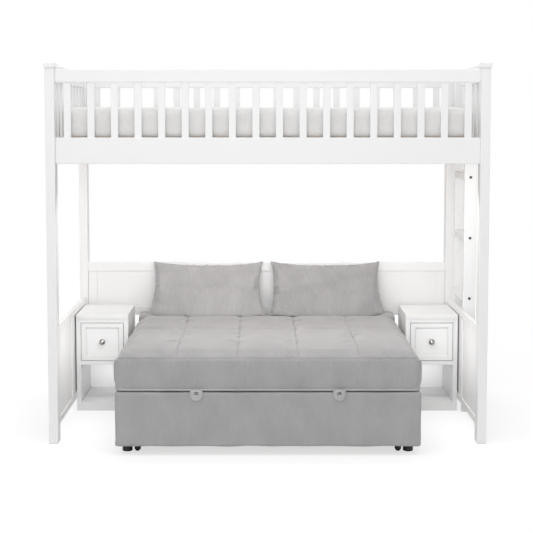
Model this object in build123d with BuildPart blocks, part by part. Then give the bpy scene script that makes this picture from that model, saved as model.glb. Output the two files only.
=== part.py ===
from build123d import *
import os
from math import asin, cos, radians, sin, sqrt

# Loft bed with a ladder, two nightstands, a mattress and a pull-out sofa bed with two pillows.
# Millimetres. X runs along the bed, Y from the front to the back, and Z up from the floor.
# The origin is on the floor, under the middle of the whole set's outer box.
# Places are counted from the bed's centre line, the front posts' front plane and the floor.

# Clearances
glue_line = 0.2
soft_gap = 0.3
panel_fit = 0.3
bolt_fit = 0.2
cut_overrun = 5.0
crown_ease = 1.5

# Posts and caps
outer_length = 2083.0
frame_depth = 1090.0
post_width = 44.0
post_depth = 70.0
post_edge = 3.0
cap_height = 22.0
cap_overhang = 4.0
chamfer_share = 0.7

# Rails and guard slats of the loft
loft_clearance = 1333.0
side_rail_height = 124.0
side_rail_thickness = 28.0
guard_gap = 259.0
guard_rail_height = 61.0
guard_rail_thickness = 22.0
guard_top_drop = 7.0
end_guard_height = 83.0
end_board_thickness = 22.0
rail_edge = 3.0
guard_slat_width = 34.0
guard_slat_thickness = 16.0
slat_edge = 2.5
guard_slat_count = 18
left_end_slat_count = 9
right_end_slat_count = 5

# Bed base and mattress
cleat_height = 40.0
cleat_thickness = 22.0
cleat_end_gap = 8.0
cleat_top_drop = 25.0
bed_slat_width = 70.0
bed_slat_thickness = 18.0
bed_slat_gap = 2.0
bed_slat_count = 14
mattress_thickness = 150.0
mattress_gap = 6.0
mattress_end_gap = 28.0
mattress_shoulder = 26.0
mattress_crown = 6.0
mattress_corner = 50.0
mattress_draw = 4.0

# Lower end panels
end_panel_foot = 65.0
end_panel_height = 485.0
end_top_rail = 33.0
end_bottom_rail = 35.0
end_stile_width = 60.0
board_thickness = 8.0
board_tongue = 8.0
bead_depth = 2.0
bead_strip_count = 5

# Back panel
back_panel_bottom = 448.0
back_panel_height = 297.0
back_panel_thickness = 22.0
back_panel_setback = 10.0
back_rail_height = 50.0

# Ladder
stringer_width = 63.0
stringer_thickness = 30.0
ladder_back_gap = 70.0
ladder_top_drop = 7.0
rung_length = 270.0
rung_thickness = 38.0
rung_first = 285.0
rung_pitch = 318.5
rung_count = 4
rung_edge = 4.0

# Bolts
bolt_shank_radius = 4.0
bolt_length = 84.0
bolt_head_radius = 7.0
bolt_head_height = 3.0
bolt_tip_gap = 1.0
rail_bolt_shares = (0.27, 0.73)

# Nightstands
stand_width = 275.0
stand_depth = 346.0
stand_height = 514.0
stand_end_gap = 0.5
stand_back_gap = 38.0
stand_top_thickness = 22.0
stand_top_overhang = 4.0
stand_top_edge = 2.5
stand_side_thickness = 24.0
stand_back_thickness = 8.0
stand_rail_height = 22.0
stand_rail_depth = 20.0
drawer_height = 199.0
drawer_reveal = 2.0
divider_thickness = 21.0
stand_plinth_height = 47.0
stand_floor_thickness = 16.0
drawer_front_thickness = 18.0
drawer_field_inset = 24.0
drawer_field_depth = 5.0
drawer_field_taper = 35.0
drawer_board = 12.0
drawer_floor_thickness = 6.0
drawer_floor_lift = 10.0
drawer_side_gap = 1.5
drawer_box_drop = 24.0
drawer_box_lift = 6.0
drawer_back_gap = 26.0
runner_protrusion = 7.0
runner_height = 14.0
runner_fit = 0.5
runner_tip_gap = 1.0
runner_height_share = 0.5
knob_radius = 16.0
knob_neck_radius = 7.0
knob_projection = 26.0
knob_head_height = 13.0
knob_foot_radius = 9.0
knob_foot_height = 3.0
knob_screw_radius = 2.5
knob_screw_length = 9.0
knob_screw_fit = 0.1

# Sofa bed
sofa_side_gap = 33.0
sofa_back_gap = 60.0
rear_deck_depth = 135.0
rear_deck_height = 165.0
rear_deck_shoulder = 18.0
flap_back_gap = 3.0
flap_depth = 394.0
seam_gap = 4.0
seat_depth = 624.0
cushion_bottom = 300.0
cushion_thickness = 162.0
cushion_puff = 13.0
cushion_row_puff = 14.0
end_shoulder = 46.0
seat_front_shoulder = 34.0
seat_corner = 30.0
cushion_draw = 4.0
cushion_columns = 5
seat_row_shares = (0.41, 0.70)
flap_row_shares = (0.556,)
flap_nose = 30.0
flap_lift = 1.0
flap_heel_chamfer = 20.0

base_side_thickness = 60.0
base_bottom = 45.0
base_back_thickness = 25.0
deck_thickness = 15.0
foot_radius = 23.5
foot_inset_x = 45.0
foot_inset_y = 40.0
foot_chamfer = 2.0

bracket_thickness = 5.0
bracket_half_width = 14.0
bracket_spacing = 900.0
bracket_slot_gap = 1.5
hinge_pin_radius = 5.0
hinge_pin_length = 60.0
hinge_pin_fit = 0.1
hinge_running_fit = 0.05

# Pull-out section of the sofa bed
panel_overhang = 5.0
panel_lead = 10.0
panel_thickness = 50.0
panel_bottom = 40.0
panel_top_drop = 5.0
panel_corner = 12.0
panel_edge = 7.0
panel_back_gap = 2.0
channel_depth = 12.0
channel_height = 30.0
channel_wall = 2.0
channel_bottom = 100.0
channel_front_gap = 8.0
channel_back_gap = 40.0
strip_fit = 0.3
strip_tip_gap = 2.0
carriage_gap = 2.0
carriage_board = 22.0
carriage_height = 100.0
carriage_depth = 700.0
carriage_floor_lift = 50.0
carriage_slat_thickness = 12.0
carriage_slat_width = 80.0
carriage_slat_count = 6
strip_length = 460.0
stored_cushion_gap = 6.0
stored_cushion_thickness = 138.0
stored_cushion_puff = 10.0
stored_cushion_shoulder = 24.0
stored_cushion_corner = 20.0

# Casters under the carriage
caster_x_inset = 8.0
caster_setback = 35.0
fork_width = 28.0
fork_depth = 36.0
fork_plate = 4.0
fork_cheek = 4.0
fork_cheek_depth = 18.0
fork_ground_gap = 9.0
wheel_radius = 20.0
wheel_width = 18.0
wheel_edge = 3.0
axle_radius = 4.0
axle_fit = 0.05

# Pull tabs
tab_spacing = 656.0
tab_width = 60.0
tab_straight = 22.0
tab_thickness = 8.0
tab_tongue_length = 34.0
tab_tongue_thickness = 3.0
tab_eye_radius = 7.0
tab_eye_drop = 16.0

# Pillows
pillow_end_gap = 57.0
pillow_middle_gap = 46.0
pillow_height = 305.0
pillow_thickness = 112.0
pillow_edge = 10.0
pillow_draw = 14.0
pillow_corner = 5.0
pillow_lean = 20.6

# Heights and reaches that follow from the sizes above
side_rail_top = loft_clearance + side_rail_height
guard_rail_bottom = side_rail_top + guard_gap
guard_rail_top = guard_rail_bottom + guard_rail_height
post_height = guard_rail_top + guard_top_drop
inner_length = outer_length - 2 * post_width
inner_depth = frame_depth - 2 * post_depth
post_center_x = (outer_length - post_width) / 2
post_center_depth = post_depth / 2
back_post_front = frame_depth - post_depth
end_inner_x = post_center_x - end_board_thickness / 2
end_outer_x = post_center_x + end_board_thickness / 2
back_panel_front = back_post_front + back_panel_setback

ladder_back = back_post_front - ladder_back_gap
ladder_front = ladder_back - rung_length - 2 * stringer_thickness
ladder_center_x = end_outer_x + stringer_width / 2
ladder_height = guard_rail_top - ladder_top_drop

stand_outer_x = end_inner_x - stand_end_gap
stand_inner_x = stand_outer_x - stand_width
stand_back = back_panel_front - stand_back_gap
stand_front = stand_back - stand_depth

sofa_half = stand_inner_x - sofa_side_gap
sofa_back = back_panel_front - sofa_back_gap
rear_deck_front = sofa_back - rear_deck_depth
flap_back = rear_deck_front - flap_back_gap
flap_front = flap_back - flap_depth
seat_back = flap_front - seam_gap
seat_front = seat_back - seat_depth
cushion_shoulder_top = cushion_bottom + cushion_thickness
deck_top = cushion_bottom - soft_gap
deck_bottom = deck_top - deck_thickness
hinge_y = flap_front + flap_nose
hinge_z = cushion_shoulder_top - flap_nose
panel_front = seat_front - panel_lead
panel_back = panel_front + panel_thickness
panel_top = cushion_bottom - panel_top_drop
base_front = panel_back + panel_back_gap
base_inner_x = sofa_half - base_side_thickness
carriage_outer_x = base_inner_x - channel_depth - carriage_gap
carriage_front = panel_back + glue_line
carriage_back = carriage_front + carriage_depth
caster_height = 2 * wheel_radius + 2 * fork_plate
carriage_bottom = caster_height + fork_plate
floor_top = carriage_bottom + carriage_floor_lift + carriage_slat_thickness
tab_front = panel_front - soft_gap - tab_thickness
pillow_length = sofa_half - pillow_end_gap - pillow_middle_gap / 2
pillow_center_x = (pillow_middle_gap + pillow_length) / 2

# Place of the centre line and of the front plane, so that the origin is in the middle
left_reach = outer_length / 2 + cap_overhang
right_reach = end_outer_x + stringer_width
bed_x = (left_reach - right_reach) / 2
front_y = -(tab_front + frame_depth + cap_overhang) / 2

sides = (("left", -1), ("right", 1))


def save_piece(piece, label):
    """Label a finished piece and write its file."""
    piece.part.label = label
    export_step(piece.part, f"parts/{label}.step")


def spot(x, y, z):
    """A point counted from the centre line, the front plane and the floor."""
    return (bed_x + x, front_y + y, z)


def add_box(low, high, side=1, mode=Mode.ADD):
    """Add or cut the box between two corners, or its mirror image when the side is -1."""
    sizes = [end - start for start, end in zip(low, high)]
    middle = [(end + start) / 2 for start, end in zip(low, high)]
    with Locations(spot(side * middle[0], middle[1], middle[2])):
        Box(*sizes, mode=mode)


def drill(places, direction, radius, depth):
    """Cut round holes that run from each place along one direction."""
    with Locations(*[Plane(origin=place, z_dir=direction) for place in places]):
        Cylinder(radius, depth, align=(Align.CENTER, Align.CENTER, Align.MIN), mode=Mode.SUBTRACT)


def crowned_outline(low, high, bottom, shoulder, crown, radius, seams=()):
    """Closed outline with a flat bottom, rounded shoulders, and a top of arcs between seams."""
    Polyline((low, shoulder - radius), (low, bottom), (high, bottom), (high, shoulder - radius))
    CenterArc((low + radius, shoulder - radius), radius, 180, -90)
    CenterArc((high - radius, shoulder - radius), radius, 0, 90)
    stops = (low + radius, *seams, high - radius)
    for start, end in zip(stops, stops[1:]):
        ThreePointArc((start, shoulder), ((start + end) / 2, crown), (end, shoulder))


def drawn_outline(half_x, half_y, draw):
    """Closed outline of four arcs that draw in between the corners."""
    ThreePointArc((-half_x, -half_y), (0, draw - half_y), (half_x, -half_y))
    ThreePointArc((half_x, -half_y), (half_x - draw, 0), (half_x, half_y))
    ThreePointArc((half_x, half_y), (0, half_y - draw), (-half_x, half_y))
    ThreePointArc((-half_x, half_y), (draw - half_x, 0), (-half_x, -half_y))


def lens_outline(half_length, half_thickness, half_edge):
    """Closed outline that is thick in the middle and thin at both ends."""
    ThreePointArc((-half_length, -half_edge), (0, -half_thickness), (half_length, -half_edge))
    Line((half_length, -half_edge), (half_length, half_edge))
    ThreePointArc((half_length, half_edge), (0, half_thickness), (-half_length, half_edge))
    Line((-half_length, half_edge), (-half_length, -half_edge))


def rail_bolt_places(depth):
    """Places of the bolts in the right post's outer face, level with a side rail."""
    heights = [loft_clearance + share * side_rail_height for share in rail_bolt_shares]
    return [(outer_length / 2, depth, height) for height in heights]


def rung_heights():
    """Height of each rung's middle."""
    return [rung_first + step * rung_pitch for step in range(rung_count)]


# Posts
def make_post(label, side, center_depth):
    """Square post, drilled for the two bolts of its side rail."""
    with BuildPart() as post:
        with BuildSketch(Plane(origin=spot(side * post_center_x, center_depth, 0))):
            RectangleRounded(post_width, post_depth, post_edge)
        extrude(amount=post_height)
        chamfer(post.edges().group_by(Axis.Z)[0], chamfer_share * post_edge)
        places = [spot(side * x, y, z) for x, y, z in rail_bolt_places(center_depth)]
        drill(places, (-side, 0, 0), bolt_shank_radius + bolt_fit, post_width)
    save_piece(post, label)


# Rails that run along X between two posts
def make_long_rail(label, center_depth, bottom, height, thickness, bolted):
    """Board with rounded edges, and bolt holes in its ends where it carries the bed."""
    hole_depth = bolt_length - post_width + bolt_tip_gap
    profile = Plane.YZ.offset(bed_x - inner_length / 2)
    with BuildPart() as rail:
        with BuildSketch(profile):
            with Locations((front_y + center_depth, bottom + height / 2)):
                RectangleRounded(thickness, height, rail_edge)
        extrude(amount=inner_length)
        if bolted:
            for side in (-1, 1):
                places = [spot(side * inner_length / 2, y, z) for _, y, z in rail_bolt_places(center_depth)]
                drill(places, (-side, 0, 0), bolt_shank_radius + bolt_fit, hole_depth)
    save_piece(rail, label)


# Upright slats between a side rail and its guard rail
def make_long_slats(label, center_depth):
    """Row of guard slats along the bed, one in the middle of each equal stretch."""
    pitch = inner_length / guard_slat_count
    with BuildPart() as slats:
        with BuildSketch(Plane(origin=spot(0, center_depth, side_rail_top))):
            with GridLocations(pitch, 0, guard_slat_count, 1):
                RectangleRounded(guard_slat_width, guard_slat_thickness, slat_edge)
        extrude(amount=guard_gap)
    save_piece(slats, label)


def make_end_slats(label, side, length, count):
    """Row of guard slats across one end of the bed, behind the front post."""
    with BuildPart() as slats:
        with BuildSketch(Plane(origin=spot(side * post_center_x, post_depth + length / 2, side_rail_top))):
            with GridLocations(0, length / count, 1, count):
                RectangleRounded(guard_slat_thickness, guard_slat_width, slat_edge)
        extrude(amount=guard_gap)
    save_piece(slats, label)


# Rails that run along Y
def make_end_rail(label, side, back, bottom, height):
    """Board across one end of the bed, notched where the caps of the posts reach over it."""
    notch_bottom = post_height - glue_line
    with BuildPart() as rail:
        with BuildSketch(Plane.XZ.offset(-(front_y + post_depth))):
            with Locations((bed_x + side * post_center_x, bottom + height / 2)):
                RectangleRounded(end_board_thickness, height, rail_edge)
        extrude(amount=post_depth - back)
        if bottom + height > notch_bottom:
            for end in (post_depth, back_post_front):
                reach = cap_overhang + glue_line
                low = (end_inner_x - cut_overrun, end - reach, notch_bottom)
                high = (end_outer_x + cut_overrun, end + reach, post_height + cap_height)
                add_box(low, high, side, Mode.SUBTRACT)
    save_piece(rail, label)


# Lower end panels
def make_end_panel(side_name, side):
    """Frame of two rails and a centre stile, with a beaded board in each of its two fields."""
    bottom = end_panel_foot
    top = bottom + end_panel_height
    field_length = (inner_depth - end_stile_width) / 2
    stile_front = post_depth + field_length
    stile_back = stile_front + end_stile_width
    board_bottom = bottom + end_bottom_rail - board_tongue
    board_top = top - end_top_rail + board_tongue
    fields = ((post_depth + panel_fit, stile_front + board_tongue),
              (stile_back - board_tongue, back_post_front - panel_fit))
    with BuildPart() as panel_frame:
        with BuildSketch(Plane.XZ.offset(-(front_y + post_depth))):
            with Locations((bed_x + side * post_center_x, bottom + end_bottom_rail / 2)):
                RectangleRounded(end_board_thickness, end_bottom_rail, rail_edge)
            with Locations((bed_x + side * post_center_x, top - end_top_rail / 2)):
                RectangleRounded(end_board_thickness, end_top_rail, rail_edge)
        extrude(amount=-inner_depth)
        stile_low = bottom + end_bottom_rail + glue_line
        stile_depth = (stile_front + stile_back) / 2
        with BuildSketch(Plane(origin=spot(side * post_center_x, stile_depth, stile_low))):
            RectangleRounded(end_board_thickness, end_stile_width, rail_edge)
        extrude(amount=top - end_top_rail - glue_line - stile_low)
        groove_half = board_thickness / 2 + panel_fit
        for start, end in fields:
            low = (post_center_x - groove_half, start - panel_fit, board_bottom - panel_fit)
            high = (post_center_x + groove_half, end + panel_fit, board_top + panel_fit)
            add_box(low, high, side, Mode.SUBTRACT)
    save_piece(panel_frame, f"end_panel_frame_{side_name}")

    with BuildPart() as panel_board:
        for start, end in fields:
            middle = (start + end) / 2
            with BuildSketch(Plane(origin=spot(side * post_center_x, middle, board_bottom))):
                Rectangle(board_thickness, end - start)
                pitch = field_length / bead_strip_count
                with GridLocations(board_thickness, pitch, 2, bead_strip_count - 1):
                    RegularPolygon(bead_depth, 4, mode=Mode.SUBTRACT)
            extrude(amount=board_top - board_bottom)
    save_piece(panel_board, f"end_panel_board_{side_name}")


# Nightstands
def make_nightstand(side_name, side):
    """Open cabinet with a drawer above a cubby."""
    opening_low = stand_inner_x + stand_side_thickness
    opening_high = stand_outer_x - stand_side_thickness
    cabinet_top = stand_height - stand_top_thickness
    drawer_top = cabinet_top - stand_rail_height
    drawer_bottom = drawer_top - drawer_height - 2 * drawer_reveal
    cubby_top = drawer_bottom - divider_thickness
    cabinet_back = stand_back - stand_back_thickness - glue_line
    middle_x = (stand_inner_x + stand_outer_x) / 2
    board_low = opening_low + glue_line
    board_high = opening_high - glue_line

    with BuildPart() as carcass:
        side_top = cabinet_top - glue_line
        add_box((stand_inner_x, stand_front, 0), (opening_low, stand_back, side_top), side)
        add_box((opening_high, stand_front, 0), (stand_outer_x, stand_back, side_top), side)
        plinth_back = stand_front + stand_rail_depth
        add_box((board_low, stand_front, 0), (board_high, plinth_back, stand_plinth_height), side)
        floor_low = (board_low, plinth_back + glue_line, stand_plinth_height - stand_floor_thickness)
        add_box(floor_low, (board_high, cabinet_back, stand_plinth_height), side)
        add_box((board_low, stand_front, cubby_top), (board_high, cabinet_back, drawer_bottom), side)
        add_box((board_low, stand_front, drawer_top), (board_high, plinth_back, side_top), side)
        back_rail_front = cabinet_back - stand_rail_depth
        add_box((board_low, back_rail_front, drawer_top), (board_high, cabinet_back, side_top), side)
        low = (board_low, stand_back - stand_back_thickness, stand_plinth_height - stand_floor_thickness)
        add_box(low, (board_high, stand_back, side_top), side)
    save_piece(carcass, f"nightstand_{side_name}_carcass")

    with BuildPart() as top_board:
        top_depth = stand_depth + stand_top_overhang
        center_depth = stand_back - top_depth / 2
        with BuildSketch(Plane(origin=spot(side * middle_x, center_depth, cabinet_top))):
            Rectangle(stand_width, top_depth)
        extrude(amount=stand_top_thickness)
        fillet(top_board.edges().group_by(Axis.Z)[-1], stand_top_edge)
    save_piece(top_board, f"nightstand_{side_name}_top")

    front_width = opening_high - opening_low - 2 * drawer_reveal
    front_center_z = drawer_bottom + drawer_reveal + drawer_height / 2
    front_face = Plane.XZ.offset(-(front_y + stand_front))
    knob_face = stand_front + drawer_field_depth
    with BuildPart() as drawer_front:
        with BuildSketch(front_face):
            with Locations((bed_x + side * middle_x, front_center_z)):
                Rectangle(front_width, drawer_height)
        extrude(amount=-drawer_front_thickness)
        with BuildSketch(front_face):
            with Locations((bed_x + side * middle_x, front_center_z)):
                Rectangle(front_width - 2 * drawer_field_inset, drawer_height - 2 * drawer_field_inset)
        extrude(amount=-drawer_field_depth, taper=drawer_field_taper, mode=Mode.SUBTRACT)
        screw_place = spot(side * middle_x, knob_face, front_center_z)
        screw_hole_radius = knob_screw_radius + knob_screw_fit
        drill([screw_place], (0, 1, 0), screw_hole_radius, knob_screw_length + knob_screw_fit)
    save_piece(drawer_front, f"drawer_{side_name}_front")

    with BuildPart() as knob:
        with BuildSketch(Plane(origin=screw_place, x_dir=(1, 0, 0), z_dir=(0, 0, 1))):
            with BuildLine():
                head_back = -(knob_projection - knob_head_height)
                Polyline(
                    (0, -knob_projection),
                    (0, knob_screw_length),
                    (knob_screw_radius, knob_screw_length),
                    (knob_screw_radius, -glue_line),
                    (knob_foot_radius, -glue_line),
                    (knob_foot_radius, -knob_foot_height),
                    (knob_neck_radius, -knob_foot_height),
                    (knob_neck_radius, head_back),
                    (knob_radius, head_back),
                )
                dome_radius = (knob_radius**2 + knob_head_height**2) / (2 * knob_head_height)
                half_turn = asin(min(1, knob_radius / dome_radius)) / 2
                dome_drop = dome_radius - dome_radius * cos(half_turn)
                dome_middle = (dome_radius * sin(half_turn), dome_drop - knob_projection)
                ThreePointArc((knob_radius, head_back), dome_middle, (0, -knob_projection))
            make_face()
        revolve(axis=Axis(screw_place, (0, 1, 0)))
    save_piece(knob, f"drawer_{side_name}_knob")

    box_low = opening_low + drawer_side_gap
    box_high = opening_high - drawer_side_gap
    box_front = stand_front + drawer_front_thickness + glue_line
    box_back = cabinet_back - drawer_back_gap
    box_bottom = drawer_bottom + drawer_reveal + drawer_box_lift
    box_top = drawer_top - drawer_box_drop
    inner_low = box_low + drawer_board + glue_line
    inner_high = box_high - drawer_board - glue_line
    runner_middle = box_bottom + runner_height_share * (box_top - box_bottom)
    with BuildPart() as drawer_box:
        add_box((box_low, box_front, box_bottom), (box_low + drawer_board, box_back, box_top), side)
        add_box((box_high - drawer_board, box_front, box_bottom), (box_high, box_back, box_top), side)
        add_box((inner_low, box_front, box_bottom), (inner_high, box_front + drawer_board, box_top), side)
        add_box((inner_low, box_back - drawer_board, box_bottom), (inner_high, box_back, box_top), side)
        floor_low = (inner_low, box_front + drawer_board + glue_line, box_bottom + drawer_floor_lift)
        floor_high = (inner_high, box_back - drawer_board - glue_line, floor_low[2] + drawer_floor_thickness)
        add_box(floor_low, floor_high, side)
        groove_low = runner_middle - runner_height / 2 - runner_fit
        groove_high = runner_middle + runner_height / 2 + runner_fit
        groove_depth = runner_protrusion + runner_tip_gap
        for wall, inward in ((opening_low, 1), (opening_high, -1)):
            near, far = sorted((wall, wall + inward * groove_depth))
            low = (near, box_front, groove_low)
            add_box(low, (far, box_back + cut_overrun, groove_high), side, Mode.SUBTRACT)
    save_piece(drawer_box, f"drawer_{side_name}_box")

    runner_front = box_front + drawer_board
    return (opening_low, opening_high, runner_front, box_back, runner_middle)


# Wooden runners on the nightstands' inner walls, which the drawers' grooves slide on
def make_drawer_runners(opening_low, opening_high, front, back, middle):
    """Four strips, two in each nightstand."""
    bottom = middle - runner_height / 2
    top = middle + runner_height / 2
    with BuildPart() as runners:
        for side in (-1, 1):
            add_box((opening_low, front, bottom), (opening_low + runner_protrusion, back, top), side)
            add_box((opening_high - runner_protrusion, front, bottom), (opening_high, back, top), side)
    save_piece(runners, "drawer_runners")


# Pillows that stand on the rear deck and lean on the back panel
def make_pillow(label, side):
    """Pillow with a crown on both faces and pointed corners."""
    lean_sin = sin(radians(pillow_lean))
    lean_cos = cos(radians(pillow_lean))
    half_edge = pillow_edge / 2
    foot_z = cushion_bottom + rear_deck_height + soft_gap + half_edge * lean_sin
    swell = (pillow_thickness - pillow_edge) / 2
    face_radius = ((pillow_height / 2) ** 2 + swell**2) / (2 * swell)
    reach_back = face_radius - lean_cos * (face_radius - pillow_thickness / 2)
    middle_depth = back_panel_front - soft_gap - reach_back
    middle_z = foot_z + lean_cos * pillow_height / 2
    middle = spot(side * pillow_center_x, middle_depth, middle_z)
    up = (0, lean_sin, lean_cos)
    outward = (0, -lean_cos, lean_sin)
    half_length = pillow_length / 2
    half_height = pillow_height / 2
    half_thickness = pillow_thickness / 2
    with BuildPart() as pillow:
        with BuildSketch(Plane(origin=middle, x_dir=(1, 0, 0), z_dir=outward)) as outline:
            with BuildLine():
                drawn_outline(half_length, half_height, pillow_draw)
            make_face()
            fillet(outline.vertices(), pillow_corner)
        extrude(amount=half_thickness + cut_overrun, both=True)
        with BuildSketch(Plane(origin=middle, x_dir=(1, 0, 0), z_dir=(0, -lean_sin, -lean_cos))):
            with BuildLine():
                lens_outline(half_length, half_thickness + crown_ease, half_edge)
            make_face()
        extrude(amount=half_height, both=True, mode=Mode.INTERSECT)
        with BuildSketch(Plane(origin=middle, x_dir=up, z_dir=(1, 0, 0))):
            with BuildLine():
                lens_outline(half_height, half_thickness, half_edge)
            make_face()
        extrude(amount=half_length, both=True, mode=Mode.INTERSECT)
    save_piece(pillow, label)


# A padded block with a crown and drawn-in sides, as the mattress and the stored cushion have
def make_padded_block(label, half_x, front, back, bottom, thickness, crown, shoulder, corner, draw):
    """Padded block between two depths, centred on the bed's centre line."""
    depth = back - front
    middle_depth = (front + back) / 2
    top = bottom + thickness
    with BuildPart() as block:
        with BuildSketch(Plane.YZ.offset(bed_x - half_x)):
            with BuildLine():
                crowned_outline(front_y + front, front_y + back, bottom, top - crown, top, shoulder)
            make_face()
        extrude(amount=2 * half_x)
        with BuildSketch(Plane.XZ.offset(-(front_y + back))):
            with BuildLine():
                long_top = top + crown_ease
                crowned_outline(bed_x - half_x, bed_x + half_x, bottom, top - crown, long_top, shoulder)
            make_face()
        extrude(amount=depth, mode=Mode.INTERSECT)
        with BuildSketch(Plane(origin=spot(0, middle_depth, bottom))) as plan:
            with BuildLine():
                drawn_outline(half_x, depth / 2, draw)
            make_face()
            fillet(plan.vertices(), corner)
        extrude(amount=thickness + cut_overrun, mode=Mode.INTERSECT)
    save_piece(block, label)


os.makedirs("parts", exist_ok=True)

# Loft frame
for side_name, side in sides:
    make_post(f"post_front_{side_name}", side, post_center_depth)
    make_post(f"post_back_{side_name}", side, frame_depth - post_center_depth)

with BuildPart() as post_caps:
    with BuildSketch(Plane(origin=spot(0, frame_depth / 2, post_height))):
        with GridLocations(outer_length - post_width, frame_depth - post_depth, 2, 2):
            RectangleRounded(post_width + 2 * cap_overhang, post_depth + 2 * cap_overhang, post_edge)
    extrude(amount=cap_height)
    chamfer(post_caps.edges().group_by(Axis.Z)[-1], chamfer_share * post_edge)
save_piece(post_caps, "post_caps")

for row, center_depth in (("front", post_center_depth), ("back", frame_depth - post_center_depth)):
    label = f"side_rail_{row}"
    make_long_rail(label, center_depth, loft_clearance, side_rail_height, side_rail_thickness, True)
    make_long_rail(
        f"guard_rail_{row}", center_depth, guard_rail_bottom, guard_rail_height, guard_rail_thickness, False
    )
    make_long_slats(f"guard_slats_{row}", center_depth)

right_guard_back = ladder_front + stringer_thickness
make_end_rail("end_guard_rail_left", -1, back_post_front, guard_rail_bottom, end_guard_height)
make_end_rail("end_guard_rail_right", 1, right_guard_back, guard_rail_bottom, end_guard_height)
make_end_rail("end_rail_left", -1, back_post_front, loft_clearance, side_rail_height)
make_end_rail("end_rail_right", 1, back_post_front, loft_clearance, side_rail_height)
make_end_slats("end_slats_left", -1, inner_depth, left_end_slat_count)
make_end_slats("end_slats_right", 1, right_guard_back - post_depth, right_end_slat_count)
for side_name, side in sides:
    make_end_panel(side_name, side)

# Low panel between the back posts
back_panel_middle = back_panel_front + back_panel_thickness / 2
back_panel_top = back_panel_bottom + back_panel_height
back_field_half = inner_length / 2 - back_rail_height
back_board_low = back_panel_bottom + back_rail_height - board_tongue
back_board_high = back_panel_top - back_rail_height + board_tongue
with BuildPart() as back_panel_frame:
    with BuildSketch(Plane.YZ.offset(bed_x - inner_length / 2)):
        with Locations((front_y + back_panel_middle, back_panel_bottom + back_rail_height / 2)):
            RectangleRounded(back_panel_thickness, back_rail_height, rail_edge)
        with Locations((front_y + back_panel_middle, back_panel_top - back_rail_height / 2)):
            RectangleRounded(back_panel_thickness, back_rail_height, rail_edge)
    extrude(amount=inner_length)
    stile_low = back_panel_bottom + back_rail_height + glue_line
    with BuildSketch(Plane(origin=spot(0, back_panel_middle, stile_low))):
        with GridLocations(inner_length - back_rail_height, 0, 2, 1):
            RectangleRounded(back_rail_height, back_panel_thickness, rail_edge)
    extrude(amount=back_panel_top - back_rail_height - glue_line - stile_low)
    groove_reach = back_field_half + board_tongue + panel_fit
    groove_half = board_thickness / 2 + panel_fit
    low = (-groove_reach, back_panel_middle - groove_half, back_board_low - panel_fit)
    high = (groove_reach, back_panel_middle + groove_half, back_board_high + panel_fit)
    add_box(low, high, 1, Mode.SUBTRACT)
save_piece(back_panel_frame, "back_panel_frame")

with BuildPart() as back_panel_board:
    board_reach = back_field_half + board_tongue
    board_half = board_thickness / 2
    low = (-board_reach, back_panel_middle - board_half, back_board_low)
    add_box(low, (board_reach, back_panel_middle + board_half, back_board_high))
save_piece(back_panel_board, "back_panel_board")

# Bed base: a cleat inside each side rail, and slats across them
rail_inner_front = post_center_depth + side_rail_thickness / 2
rail_inner_back = frame_depth - rail_inner_front
cleat_top = side_rail_top - cleat_top_drop
cleat_reach = inner_length / 2 - cleat_end_gap
with BuildPart() as slat_cleats:
    low = (-cleat_reach, rail_inner_front, cleat_top - cleat_height)
    add_box(low, (cleat_reach, rail_inner_front + cleat_thickness, cleat_top))
    low = (-cleat_reach, rail_inner_back - cleat_thickness, cleat_top - cleat_height)
    add_box(low, (cleat_reach, rail_inner_back, cleat_top))
save_piece(slat_cleats, "slat_cleats")

with BuildPart() as bed_slats:
    with BuildSketch(Plane(origin=spot(0, frame_depth / 2, cleat_top))):
        with GridLocations(2 * cleat_reach / bed_slat_count, 0, bed_slat_count, 1):
            Rectangle(bed_slat_width, rail_inner_back - rail_inner_front - 2 * bed_slat_gap)
    extrude(amount=bed_slat_thickness)
save_piece(bed_slats, "bed_slats")

mattress_bottom = cleat_top + bed_slat_thickness + soft_gap
make_padded_block(
    "loft_mattress",
    end_inner_x - mattress_end_gap,
    rail_inner_front + mattress_gap,
    rail_inner_back - mattress_gap,
    mattress_bottom,
    mattress_thickness,
    mattress_crown,
    mattress_shoulder,
    mattress_corner,
    mattress_draw,
)

# Ladder
stringer_places = (
    ("front", ladder_front + stringer_thickness / 2, ladder_front, 1),
    ("back", ladder_back - stringer_thickness / 2, ladder_back, -1),
)
for row, center_depth, outer_face, inward in stringer_places:
    with BuildPart() as stringer:
        with BuildSketch(Plane(origin=spot(ladder_center_x, center_depth, 0))):
            RectangleRounded(stringer_width, stringer_thickness, rail_edge)
        extrude(amount=ladder_height)
        chamfer(stringer.edges().group_by(Axis.Z)[-1], chamfer_share * rail_edge)
        places = [spot(ladder_center_x, outer_face, height) for height in rung_heights()]
        drill(places, (0, inward, 0), bolt_shank_radius + bolt_fit, stringer_thickness)
    save_piece(stringer, f"ladder_stringer_{row}")

with BuildPart() as ladder_rungs:
    with BuildSketch(Plane.XZ.offset(-(front_y + ladder_front + stringer_thickness))):
        with Locations(*[(bed_x + ladder_center_x, height) for height in rung_heights()]):
            RectangleRounded(stringer_width, rung_thickness, rung_edge)
    extrude(amount=-rung_length)
    rung_hole_depth = bolt_length - stringer_thickness + bolt_tip_gap
    for end, inward in ((ladder_front + stringer_thickness, 1), (ladder_back - stringer_thickness, -1)):
        places = [spot(ladder_center_x, end, height) for height in rung_heights()]
        drill(places, (0, inward, 0), bolt_shank_radius + bolt_fit, rung_hole_depth)
save_piece(ladder_rungs, "ladder_rungs")

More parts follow.
